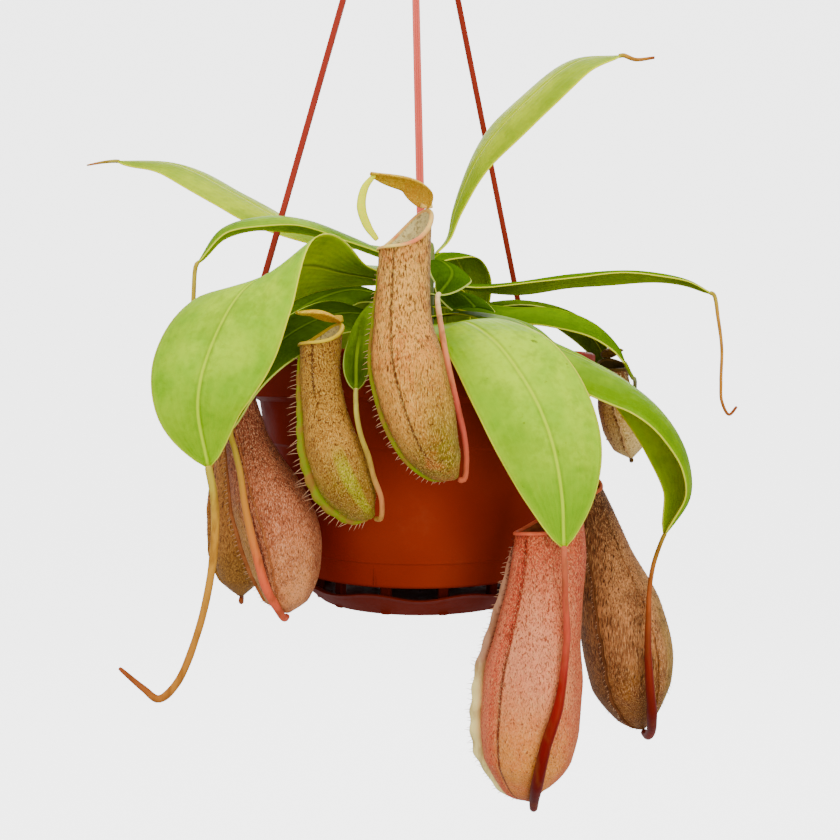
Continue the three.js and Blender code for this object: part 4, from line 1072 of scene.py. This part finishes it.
def make_lid(number, cup, lip):
    """The lid over the mouth, the neck that carries it, and a bowed strap on one of them."""
    pitcher = cup.pitcher
    neck = cup.point(1, 0.0, 0.0, pitcher["rise"] + LIP_HEIGHT / 2)[0]
    foot = neck + vec((0, 0, GAP + LID_CLEARANCE))
    width = pitcher["lid_width"]
    lid = dict(spine=[foot, *pitcher["lid"]], faces=[UP, UP], width=width, widest=LID_WIDEST, curl=(0.5, 0.5))
    builder = Builder()
    add_blade(builder, lid, rows=28, columns=14, thickness=LID_THICKNESS, waver=0.5)
    ends = [neck + vec((0, 0, GAP)), neck + vec((0, 0, GAP + NECK_HEIGHT))]
    breadth = width * NECK_SHARE
    add_tube(builder, ends, [breadth, breadth * 0.8], steps=8, flat=0.5, facing=(0.2, -1, 0), slot=3)
    if "strap" in pitcher:
        add_tube(builder, pitcher["strap"], STRAP_RADII, steps=40, flat=0.45, facing=(0.2, -1, 0.1), slot=2)
    look = LID_SHADED if number in SHADED else LID
    builder.make(f"cup_lid_{number}", [look, look, STRAP, lip], f"lid_{number}")


for number, pitcher in PITCHERS.items():
    cup = Cup(pitcher)
    lip = LIPS.get(number, LIPS[3])
    make_cup(number, cup, lip)
    make_lid(number, cup, lip)


# Tendrils: the leaf and the pitcher at their ends, the points between, radii along the drawn tube, and
# the radius at the cup as in the part's source
RED_STOPS = [(0.0, "#ce6846"), (0.3, "#be4632"), (0.45, "#8c1614"), (0.7, "#680a0a"),
             (0.88, "#540808"), (1.0, "#6e100e")]
DARK_STOPS = [(0.0, "#a08228"), (0.25, "#aa5624"), (0.5, "#781e12"), (0.8, "#60100c"),
              (1.0, "#821c14")]
PINK_STOPS = [(0.0, "#ffe296"), (0.3, "#f09660"), (0.7, "#ce5442"), (1.0, "#c8603c")]
CORAL_STOPS = [(0.0, "#baa02e"), (0.4, "#c87e32"), (0.7, "#e8603c"), (1.0, "#d65a3c")]
GREEN_STOPS = [(0.0, "#beb450"), (0.4, "#b49c38"), (0.8, "#ce824a"), (1.0, "#be8c3c")]
SHADED_STOPS = [(0.0, "#78920a"), (0.5, "#606e0e"), (1.0, "#543c14")]
TENDRILS = {
    "1": dict(leaf="folded_front", pitcher=1, stops=PINK_STOPS, radii=[0.95, 1.1, 1.1, 1.0],
              route=[(7.5, -80, 7), (9.6, -88, -6), (13, -90, -21), (15.5, -89.5, -32.5), (16, -90, -40.5),
                     (15, -91.2, -46)], radius=0.9),
    "2": dict(leaf="small_front", pitcher=2, stops=GREEN_STOPS, radii=[0.9, 0.95, 1.0, 0.9],
              route=[(-22, -87, -24), (-20.5, -88, -31), (-17.8, -88.5, -38.5), (-16, -87, -46),
                     (-13.6, -84, -53.5), (-14, -80.5, -60.8)], radius=0.9),
    "3": dict(leaf="front_left", pitcher=3, stops=CORAL_STOPS, radii=[1.0, 1.2, 1.5, 1.7, 1.2],
              route=[(-66.5, -76, -37), (-64.5, -77, -45), (-63, -77, -56), (-61, -77, -66),
                     (-58.6, -76.5, -76), (-56, -74, -87), (-53, -68, -95.5), (-51, -62, -101)], radius=1.2),
    "4": dict(leaf="arching_left", pitcher=4, stops=TAN_STOPS, radii=[0.9, 0.9, 1.0, 1.0],
              route=[(-90, -36, 22), (-91, -34, 0), (-89, -22, -30), (-83, -13, -55), (-78, -12, -85),
                     (-75, -18, -100), (-73.8, -25, -103)], radius=1),
    "5": dict(leaf="broad_front", pitcher=5, stops=RED_STOPS, radii=[1.0, 1.1, 1.3, 1.9, 2.1, 1.3],
              route=[(48.9, -99.5, -77), (49.4, -97.8, -86), (50, -97.6, -98), (48.8, -99.2, -110),
                     (46.8, -100.6, -122), (42.6, -101.3, -135), (40.2, -98.9, -148),
                     (39.8, -91.5, -157.8), (40.2, -86, -163)], radius=1.3),
    "6": dict(leaf="arching_front", pitcher=6, stops=DARK_STOPS, radii=[0.8, 0.9, 1.4, 2.0, 1.5],
              route=[(88.5, -58.5, -81), (86.2, -62, -90), (85.2, -65, -100), (84.8, -66, -110),
                     (85.4, -66.5, -123), (87, -64, -136), (88.6, -56, -146), (88.6, -50, -150)], radius=1.3),
    "7": dict(leaf="curling_right", pitcher=7, stops=SHADED_STOPS, radii=[0.8, 0.9, 0.9],
              route=[(87, -24, -10), (92, -6, -11), (96, 12, -15), (97.5, 22, -27), (96.5, 20.5, -39),
                     (95, 14, -47.2)], radius=0.9),
    "lime_left": dict(stops=GREEN_STOPS, radii=[0.9, 0.7, 0.4],
                      route=[(-153, 52, 94), (-161.5, 54, 93)]),
    "broad_left": dict(stops=TAN_STOPS, radii=[1.3, 1.5, 1.4, 1.3, 1.5, 0.7],
                       route=[(-72.3, -85.5, -52), (-72, -85, -62), (-74, -83, -80), (-79, -82, -101),
                              (-87, -82, -120), (-93, -83, -125), (-98, -84, -121), (-106, -86, -113)]),
    "lime_right": dict(stops=TAN_STOPS, radii=[0.9, 0.8, 0.6],
                       route=[(90, -12, 122.5), (98, -12, 123.3)]),
    "long_right": dict(stops=TAN_STOPS, radii=[0.9, 0.7, 0.7, 0.6],
                       route=[(126.3, -10, 15), (128, -10, 2), (127.8, -10, -12), (128.3, -10, -20.5),
                              (131.4, -10, -26), (134.4, -11, -22.5)]),
}

for tendril_name, tendril in TENDRILS.items():
    spine = leaf_spine(LEAVES[tendril.get("leaf", tendril_name)])
    tip, heading = spine.at(1), spine.heading(1)
    points = [tip - heading * 0.5, tip + heading * 1.5] + tendril["route"]
    if "pitcher" in tendril:
        foot, foot_heading = Cup(PITCHERS[tendril["pitcher"]]).axes(0)[:2]
        points.append(foot - foot_heading * (GAP + tendril["radius"]))
    builder = Builder()
    add_tube(builder, points, tendril["radii"], sides=14, steps=110, wobble=0.06)
    paint = graded_paint(f"tendril_{tendril_name}_skin", tendril["stops"])
    builder.make(f"tendril_{tendril_name}_tube", [paint], f"tendril_{tendril_name}")


# Pot, saucer, soil and stem
POT_SIDES = 144
HOLE_SIDES = 24
AXIS_RADIUS = 0.5
ROUNDING = 0.5
FLOOR_RADIUS = DRAIN_CIRCLE + 6
SEAM_PLACE = 251
SEAM_OUT = 0.55
SEAM_UP = 0.4
SEAM_SIZE = (0.9, 0.6, MOULDED_LINE_HEIGHT - 1)
PEG_TURN = 0.4
DUST = "#b46446"


def add_turned(builder, profile, sides=POT_SIDES, wave=None):
    """A closed ring profile of (radius, z) corners turned round the Z axis."""
    count = len(profile)
    points, faces = [], []
    for i in range(sides):
        degrees = 360 * i / sides
        j = (i + 1) % sides
        for k, (radius, z) in enumerate(profile):
            points.append(on_circle(radius, degrees, z + (wave(degrees, radius) if wave else 0)))
            after = (k + 1) % count
            faces.append([i * count + k, j * count + k, j * count + after, i * count + after])
    builder.add(points, faces)


def rounded(profile, radius, steps=3):
    """The closed profile with each corner turned into a short arc."""
    soft = []
    for i, here in enumerate(profile):
        before, after = profile[i - 1], profile[(i + 1) % len(profile)]
        here = vec(here)
        ways = [vec(before) - here, vec(after) - here]
        reach = [min(radius, np.linalg.norm(w) * 0.45) for w in ways]
        start, end = (here + w / max(np.linalg.norm(w), 1e-9) * r for w, r in zip(ways, reach))
        for step in range(steps + 1):
            s = step / steps
            soft.append(tuple((1 - s) ** 2 * start + 2 * s * (1 - s) * here + s ** 2 * end))
    return soft


def add_box(builder, centre, size, degrees, bevel=0.4):
    """A bevelled block, turned about the Z axis."""
    half = np.array(size) / 2
    angle = math.radians(degrees)
    points = []
    for z, inset in ((-1, 1), (-1, 0), (1, 0), (1, 1)):
        for x, y in ((-1, -1), (1, -1), (1, 1), (-1, 1)):
            for dx, dy in ((bevel, 0), (0, bevel))[::-1 if x * y > 0 else 1]:
                ahead = x * (half[0] - dx - inset * bevel)
                aside = y * (half[1] - dy - inset * bevel)
                points.append(centre + vec((
                    ahead * math.cos(angle) - aside * math.sin(angle),
                    ahead * math.sin(angle) + aside * math.cos(angle),
                    z * (half[2] - bevel * (1 - inset)),
                )))
    builder.add(points, ring_faces(4, 8))


def pot_paint(name, colour, deep, roughness, specular):
    """Clouded plastic with a little dust on it, in places worn duller."""
    paint = Paint(name, roughness, specular, gloss=POT_GLOSS)
    cloud = paint.span(paint.noise(9, 3), 0.3, 0.7)
    base = paint.blend(cloud, colour, deep)
    dust = paint.span(paint.noise(60, 5, 0.7), 0.55, 0.85, 0.0, 0.12)
    base = paint.blend(dust, base, DUST)
    worn = paint.span(paint.noise(140, 4), 0.3, 0.8, roughness, roughness + 0.16)
    return paint.finish(base, [(paint.noise(35, 2), 0.0004), (paint.noise(700, 2), 0.00006)], worn)


POT_RED = pot_paint("pot_plastic", "#943018", "#701408", 0.34, 0.015)
# The saucer is the pot's red plastic, painted darker as shade under the pot
SAUCER_SHADED_RED = pot_paint("saucer_plastic", "#701c08", "#561204", 0.55, 0.12)
ROD_RED = pot_paint("rod_plastic", "#b44232", "#9a3024", 0.4, 0.3)
# The rods are one red plastic: the front rod is painted lighter as if lit, the back right rod darker as
# painted shade
ROD_PAINTED_LIGHT = pot_paint("rod_painted_light", "#e66858", "#ce5042", 0.4, 0.3)
ROD_PAINTED_SHADE = pot_paint("rod_painted_shade", "#a03424", "#822418", 0.4, 0.3)
ROD_LOOKS = {"front": ROD_PAINTED_LIGHT, "left": ROD_RED, "right": ROD_PAINTED_SHADE}


def pot():
    """The shell with its rim, step and moulded line, the floor, three lugs and a short seam at the foot."""
    foot = -POT_HEIGHT
    line = foot + MOULDED_LINE_HEIGHT
    line_radius = POT_FOOT_RADIUS + POT_CHAMFER
    step_radius = POT_SHOULDER_RADIUS - 2 * STEP_WIDTH
    profile = [
        (FLOOR_RADIUS, foot),
        (POT_FOOT_RADIUS - POT_CHAMFER, foot),
        (POT_FOOT_RADIUS, foot + POT_CHAMFER),
        (line_radius, line - MOULDED_LINE_DEPTH / 2),
        (line_radius + MOULDED_LINE_DEPTH, line),
        (line_radius + MOULDED_LINE_DEPTH, line + POT_CHAMFER),
        (step_radius - STEP_WIDTH / 2, -POT_STEP_DEPTH - POT_CHAMFER),
        (step_radius + STEP_WIDTH / 3, -POT_STEP_DEPTH),
        (POT_SHOULDER_RADIUS, -RIM_HEIGHT - POT_CHAMFER),
        (RIM_RADIUS - POT_CHAMFER / 2, -RIM_HEIGHT),
        (RIM_RADIUS, -POT_CHAMFER),
        (RIM_RADIUS - POT_CHAMFER, 0),
        (RIM_RADIUS - RIM_WALL, 0),
        (RIM_RADIUS - RIM_WALL, -RIM_HEIGHT),
        (POT_SHOULDER_RADIUS - RIM_WALL, -RIM_HEIGHT - RIM_WALL - POT_CHAMFER),
        (step_radius - RIM_WALL, -POT_STEP_DEPTH),
        (POT_FOOT_RADIUS - RIM_WALL, foot + POT_FLOOR),
        (FLOOR_RADIUS, foot + POT_FLOOR),
    ]
    builder = Builder()
    add_turned(builder, rounded(profile, ROUNDING))
    add_floor(builder, foot)
    for degrees in LUG_ANGLES.values():
        middle = on_circle(LUG_CIRCLE + LUG_DROP - POT_CHAMFER * 2, degrees, -LUG_THICKNESS / 2 - LUG_DROP)
        add_box(builder, middle, (LUG_LENGTH, LUG_WIDTH, LUG_THICKNESS), degrees)
    seam = on_circle(POT_FOOT_RADIUS + SEAM_OUT, SEAM_PLACE, foot + MOULDED_LINE_HEIGHT / 2 + SEAM_UP)
    add_box(builder, seam, SEAM_SIZE, SEAM_PLACE, bevel=0.2)
    builder.make("pot_shell", [POT_RED], "pot", sharp=40)


def hole_ways(middle):
    """The ways out all round a drain hole that lies at middle degrees."""
    return [on_circle(1, 360 * side / HOLE_SIDES + middle, 0) for side in range(HOLE_SIDES)]


def add_floor(builder, foot):
    """The pot's floor: a plate with a ring of round drain holes, in as many equal sectors as holes."""
    sectors = [360 * hole / DRAIN_HOLES for hole in range(DRAIN_HOLES)]
    for level, way_up in ((foot, -1), (foot + POT_FLOOR, 1)):
        for middle in sectors:
            centre = on_circle(DRAIN_CIRCLE, middle, level)
            hole = [centre + way * DRAIN_HOLE_RADIUS for way in hole_ways(middle)]
            border = [sector_edge(centre, way, middle) for way in hole_ways(middle)]
            faces = [[i, (i + 1) % HOLE_SIDES, HOLE_SIDES + (i + 1) % HOLE_SIDES, HOLE_SIDES + i]
                     for i in range(HOLE_SIDES)]
            builder.add(hole + border, [face[::way_up] for face in faces])
    for middle in sectors:
        centre = on_circle(DRAIN_CIRCLE, middle, foot)
        low = [centre + way * DRAIN_HOLE_RADIUS for way in hole_ways(middle)]
        high = [p + vec((0, 0, POT_FLOOR)) for p in low]
        builder.add(low + high, ring_faces(2, HOLE_SIDES, False, False))


def sector_edge(centre, way, middle):
    """Where a ray from a drain hole's centre leaves that hole's sector of the floor."""
    flat = centre * (1, 1, 0)
    ahead = np.dot(flat, way)
    reach = math.sqrt(max(ahead * ahead - np.dot(flat, flat) + FLOOR_RADIUS * FLOOR_RADIUS, 0)) - ahead
    for degrees in (middle + 180 / DRAIN_HOLES, middle - 180 / DRAIN_HOLES):
        normal = on_circle(1, degrees + 90, 0)
        speed = np.dot(way, normal)
        if abs(speed) > 1e-6:
            cross = -np.dot(flat, normal) / speed
            if cross > 1e-6:
                reach = min(reach, cross)
    return centre + way * reach


def saucer():
    """The dish with its waved lip, and the ring of pegs that reach up to the pot."""
    lip_z = SAUCER_FOOT_Z + SAUCER_LIP_HEIGHT
    lip_start = SAUCER_LIP_RADIUS - 2 * SAUCER_WALL
    profile = [
        (AXIS_RADIUS, SAUCER_FOOT_Z),
        (SAUCER_FOOT_RADIUS - SAUCER_WALL, SAUCER_FOOT_Z),
        (SAUCER_FOOT_RADIUS + SAUCER_WALL, SAUCER_FOOT_Z + SAUCER_WALL / 2),
        (lip_start, lip_z - SAUCER_WALL),
        (SAUCER_LIP_RADIUS, lip_z),
        (SAUCER_LIP_RADIUS - SAUCER_WALL, lip_z + SAUCER_WALL / 4),
        (lip_start - SAUCER_WALL, lip_z - SAUCER_WALL / 2),
        (SAUCER_FOOT_RADIUS + SAUCER_WALL / 2, SAUCER_FOOT_Z + 2 * SAUCER_WALL),
        (SAUCER_FOOT_RADIUS - 2 * SAUCER_WALL, SAUCER_FOOT_Z + SAUCER_WALL),
        (AXIS_RADIUS, SAUCER_FOOT_Z + SAUCER_WALL),
    ]

    def wave(degrees, radius):
        share = smooth(SAUCER_FOOT_RADIUS + 2, lip_start, radius)
        return share * SAUCER_WAVE * math.sin(math.radians(SAUCER_WAVES * degrees))

    builder = Builder()
    add_turned(builder, rounded(profile, ROUNDING), wave=wave)
    peg_foot = SAUCER_FOOT_Z + SAUCER_WALL / 2
    peg_height = -POT_HEIGHT - GAP - peg_foot
    for i in range(PEGS):
        degrees = 360 * (i + PEG_TURN) / PEGS
        middle = on_circle(SAUCER_FOOT_RADIUS + PEG_DEPTH / 2, degrees, peg_foot + peg_height / 2)
        add_box(builder, middle, (PEG_DEPTH, PEG_WIDTH, peg_height), degrees)
    builder.make("saucer_dish", [SAUCER_SHADED_RED], "saucer", sharp=40)


def soil_paint():
    """Dark crumbs of peat."""
    paint = Paint("soil_peat", 0.92, specular=0.2)
    grain = paint.noise(160, 6, 0.7)
    colour = paint.ramp(grain, [(0.3, "#1e140e"), (0.55, "#3e2a1c"), (0.8, "#62462e")])
    return paint.finish(colour, [(paint.noise(260, 6, 0.7), 0.0025)])


SOIL_SIDES = 120
SOIL_RINGS = 26
SOIL_GRAIN = 0.16
SOIL_LUMP = 1.3
SOIL_CRUMB = 0.7
CHIPS = 420
CHIP_SIZE = (1.6, 4.2)
CHIP_BREADTH = 0.55
TUFTS = 140
MOSS_RADIUS = 0.25


def soil():
    """A heap with a rough top, chips of bark and a few tufts of moss on it."""
    floor = -POT_HEIGHT + POT_FLOOR + GAP
    inset = RIM_WALL + SOIL_CLEARANCE
    edge = RIM_RADIUS - inset
    shoulder = POT_SHOULDER_RADIUS - inset
    low = SOIL_TOP - SOIL_HUMP
    wall = [
        (AXIS_RADIUS, floor),
        (POT_FOOT_RADIUS - inset, floor),
        (shoulder - 2 * STEP_WIDTH, -POT_STEP_DEPTH - POT_CHAMFER),
        (shoulder, -RIM_HEIGHT - RIM_WALL - 2 * POT_CHAMFER),
        (edge - POT_CHAMFER, -RIM_HEIGHT + SOIL_HUMP),
        (edge, low),
    ]
    shares = [1 - k / SOIL_RINGS for k in range(1, SOIL_RINGS)]
    top = [(edge * share, low + 2 * SOIL_HUMP * smooth(1, 0.7, share)) for share in shares]
    profile = wall + top + [(AXIS_RADIUS, SOIL_TOP + SOIL_HUMP)]
    builder = Builder()
    add_turned(builder, profile, SOIL_SIDES)
    for index, p in enumerate(builder.points):
        if index % len(profile) >= len(wall) and 0.6 <= math.hypot(p[0], p[1]) <= edge - 0.5:
            spot = Vector((p[0] * SOIL_GRAIN, p[1] * SOIL_GRAIN, 3))
            p[2] += SOIL_LUMP * noise.noise(spot) + SOIL_CRUMB * noise.noise(spot * 3)
    for _ in range(CHIPS):
        add_chip(builder, edge)
    for _ in range(TUFTS):
        add_tuft(builder, edge)
    bark = plain_paint("soil_bark", "#5c3c26", "#322014", 0.85, scale=260, amount=0.8, bump=0.001)
    moss = plain_paint("soil_moss", "#62702c", "#424e1a", 0.85, scale=300, amount=0.7)
    builder.make("soil_heap", [soil_paint(), bark, moss], "soil")


def soil_spot(edge):
    """A random place on the heap."""
    radius = edge * 0.93 * math.sqrt(random.uniform(0.02, 1))
    return on_circle(radius, random.uniform(0, 360), SOIL_TOP + 0.6)


def add_chip(builder, edge):
    """A flat broken piece of bark."""
    centre = soil_spot(edge)
    size = random.uniform(*CHIP_SIZE)
    way = unit(vec((random.uniform(-1, 1), random.uniform(-1, 1), random.uniform(-0.35, 0.35))))
    normal = square_to(vec((random.uniform(-0.5, 0.5), random.uniform(-0.5, 0.5), 1)), way)
    across = np.cross(way, normal)
    ring = []
    for level in (-0.5, 0.5):
        for i in range(6):
            angle = math.pi * i / 3
            reach = size * random.uniform(0.75, 1.1)
            corner = centre + way * (reach * math.cos(angle))
            corner = corner + across * (CHIP_BREADTH * reach * math.sin(angle))
            ring.append(corner + normal * (level * random.uniform(0.7, 1.2)))
    builder.add(ring, ring_faces(2, 6), 1)


def add_tuft(builder, edge):
    """A few short blades of moss."""
    centre = soil_spot(edge)
    for _ in range(6):
        tip = centre + vec((random.uniform(-1.2, 1.2), random.uniform(-1.2, 1.2), random.uniform(0.8, 2.2)))
        foot = centre + vec((random.uniform(-0.6, 0.6), random.uniform(-0.6, 0.6), -0.4))
        add_spike(builder, foot, tip, MOSS_RADIUS, 2)


def stem():
    """The stem, a little drawn in between its joints."""
    foot, top = vec(STEM_FOOT), vec(STEM_TOP)
    swells = [0.97, 0.97, *(0.97 - 0.05 * math.sin(k * 0.9) ** 2 for k in range(26)), 0.75]
    builder = Builder()
    radii = [STEM_RADIUS * swell for swell in swells]
    add_tube(builder, [foot, mix(foot, top, 0.5), top], radii, sides=28, steps=110)
    paint = Paint("stem_skin", 0.5)
    drawn = paint.noise(300, 4, where=paint.place((1, 1, 0.2)))
    colour = paint.ramp(drawn, [(0.3, "#627628"), (0.6, "#7e8c38"), (0.8, "#826232")])
    builder.make("stem_cane", [paint.finish(colour, [(drawn, 0.0006)])], "stem")


pot()
saucer()
soil()
stem()


# Rods and hook
ROD_STEPS = 60
HUB_SIDES = 72
HUB_ROUNDING = 0.7


def rod_at(degrees, z):
    """A rod's middle at a height, on its straight line from its lug to the meeting point."""
    lug = on_circle(LUG_CIRCLE, degrees, -LUG_THICKNESS / 2 - LUG_DROP)
    way = unit(vec(ROD_MEETING_POINT) - lug)
    return lug + way * ((z - lug[2]) / way[2])


def rod_section(width):
    """A square with rounded corners and a groove down each side."""
    half = width / 2
    deep = half * 0.8
    groove = half * 0.35
    quarter = [
        (half, groove * 0.5),
        (half, deep * 0.75),
        (half * 0.93, deep * 0.93),
        (half * 0.8, deep),
        (groove * 1.15, deep),
        (groove * 0.85, deep - groove * 0.3),
        (groove * 0.5, deep - groove),
    ]
    section = []
    for x_sign, y_sign, way in ((1, 1, 1), (-1, 1, -1), (-1, -1, 1), (1, -1, -1)):
        section += [(x * x_sign, y * y_sign) for x, y in quarter[::way]]
    return section


def add_ball(builder, centre, radius, sides=20, rows=12):
    """A ball, flat where its poles would be."""
    points = []
    for row in range(1, rows):
        level = math.pi * row / rows
        ring, height = radius * math.sin(level), -radius * math.cos(level)
        points += [centre + on_circle(ring, 360 * i / sides, height) for i in range(sides)]
    builder.add(points, ring_faces(rows - 1, sides))


def rods():
    """Straight rods from under the lugs to above the hub, with a ball at each end."""
    section = rod_section(ROD_WIDTH)
    for side, degrees in LUG_ANGLES.items():
        top = rod_at(degrees, HUB_Z + HUB_THICKNESS / 2 + GAP + ROD_BALL_RADIUS)
        bottom = rod_at(degrees, -LUG_DROP - LUG_THICKNESS - GAP - ROD_BALL_RADIUS)
        heading = unit(top - bottom)
        across = square_to(vec((1, 0, 0) if side == "front" else (0, -1, 0)), heading)
        deep = np.cross(heading, across)
        points = []
        for step in range(ROD_STEPS + 1):
            centre = mix(bottom, top, step / ROD_STEPS)
            points += [centre + across * x + deep * y for x, y in section]
        builder = Builder()
        builder.add(points, ring_faces(ROD_STEPS + 1, len(section)))
        for end in (top, bottom):
            add_ball(builder, end, ROD_BALL_RADIUS)
        builder.make(f"rod_{side}_bar", [ROD_LOOKS[side]], f"rod_{side}", sharp=35)


def hook():
    """A round hub under an open hook of wire."""
    middle = ROD_MEETING_POINT[0]
    builder = Builder()
    low, high = HUB_Z - HUB_THICKNESS / 2, HUB_Z + HUB_THICKNESS / 2
    profile = [(AXIS_RADIUS, low), (HUB_RADIUS, low), (HUB_RADIUS, high), (AXIS_RADIUS, high)]
    add_turned(builder, rounded(profile, HUB_ROUNDING), HUB_SIDES)
    for p in builder.points:
        p[0] += middle
    circle = HOOK_INNER_RADIUS + HOOK_WIRE_RADIUS
    centre_z = RIM_BELOW_HOOK + HOOK_WIRE_RADIUS - circle
    path = [(middle, 0, HUB_Z), (middle, 0, HUB_Z + HOOK_SHANK), (circle * 0.7, 0, centre_z - circle * 0.95)]
    for degrees in range(0, HOOK_OPEN_END + 1, 30):
        angle = math.radians(degrees)
        path.append((circle * math.cos(angle), 0, centre_z + circle * math.sin(angle)))
    add_tube(builder, path, [HOOK_WIRE_RADIUS], sides=20, steps=140)
    builder.make("hook_wire", [ROD_RED], "hook", sharp=50)


rods()
hook()


# Camera, at the height and the angle of the photograph
CAMERA_PLACE = (0, -0.435, -0.285)
CAMERA_TILT = 2.06
CAMERA_LENS = 42.857
CAMERA_SENSOR = 36
camera = bpy.data.cameras.new("camera")
camera.lens = CAMERA_LENS
camera.sensor_width = CAMERA_SENSOR
camera_object = bpy.data.objects.new("camera", camera)
camera_object.location = CAMERA_PLACE
camera_object.rotation_euler = (math.radians(90 - CAMERA_TILT), 0, 0)
bpy.context.scene.collection.objects.link(camera_object)
bpy.context.scene.camera = camera_object


# Floor that curves up into a pale wall far behind
FLOOR_Z = -0.72
FLOOR_HALF = 4.0
WALL_Y = 2.4
WALL_HEIGHT = 5
CURVE = 1.2
CURVE_STEPS = 16
BACKDROP_GLOW = 3.2


def backdrop():
    """A bright sheet that the camera sees and the plant's light doesn't come from."""
    profile = [(-FLOOR_HALF, FLOOR_Z)]
    for step in range(CURVE_STEPS + 1):
        angle = math.radians(90 * step / CURVE_STEPS)
        profile.append((WALL_Y - CURVE + CURVE * math.sin(angle), FLOOR_Z + CURVE - CURVE * math.cos(angle)))
    profile.append((WALL_Y, FLOOR_Z + WALL_HEIGHT))
    points = [(x, y, z) for y, z in profile for x in (-FLOOR_HALF, FLOOR_HALF)]
    faces = [[2 * i, 2 * i + 1, 2 * i + 3, 2 * i + 2] for i in range(len(profile) - 1)]
    mesh = bpy.data.meshes.new("backdrop")
    mesh.from_pydata(points, [], faces)
    mesh.polygons.foreach_set("use_smooth", [True] * len(faces))
    paint = Paint("backdrop_paper", 0.9, specular=0.1)
    paint.fill(paint.shader, {"Emission Color": (1, 1, 1, 1), "Emission Strength": BACKDROP_GLOW})
    mesh.materials.append(paint.finish("#f6f6f6"))
    sheet = bpy.data.objects.new("backdrop", mesh)
    sheet.visible_diffuse = False
    sheet.visible_glossy = False
    bpy.context.scene.collection.objects.link(sheet)


backdrop()


# Lights: place and size in metres, and power. All aim at the middle of the plant
AIM = (0, -0.02, -0.28)
LIGHTS = {
    "key": ((-0.55, -0.75, 0.85), (0.8, 0.8), 13),
    "fill": ((0.45, -1.1, -0.35), (0.9, 0.9), 11),
    "top": ((0.15, 0.1, 0.95), (1.2, 1.0), 8),
    "back": ((0.2, 1.1, 0.3), (1.4, 0.8), 7),
}
for name, (place, size, power) in LIGHTS.items():
    light = bpy.data.lights.new(name, "AREA")
    light.shape = "RECTANGLE"
    light.size, light.size_y = size
    light.energy = power
    light_object = bpy.data.objects.new(name, light)
    light_object.location = place
    light_object.rotation_euler = (Vector(AIM) - Vector(place)).to_track_quat("-Z", "Y").to_euler()
    bpy.context.scene.collection.objects.link(light_object)

# The sky, a little brighter above than below
SKY_ABOVE = 0.75
SKY_BELOW = 0.6
world = bpy.data.worlds.new("studio")
world.use_nodes = True
nodes, links = world.node_tree.nodes, world.node_tree.links
coordinates = nodes.new("ShaderNodeTexCoord")
split = nodes.new("ShaderNodeSeparateXYZ")
links.new(coordinates.outputs["Generated"], split.inputs["Vector"])
level = nodes.new("ShaderNodeMapRange")
links.new(split.outputs["Z"], level.inputs["Value"])
level.inputs["From Min"].default_value = -1
level.inputs["To Min"].default_value = SKY_BELOW
level.inputs["To Max"].default_value = SKY_ABOVE
links.new(level.outputs["Result"], nodes["Background"].inputs["Strength"])
nodes["Background"].inputs["Color"].default_value = (1, 1, 1, 1)
bpy.context.scene.world = world
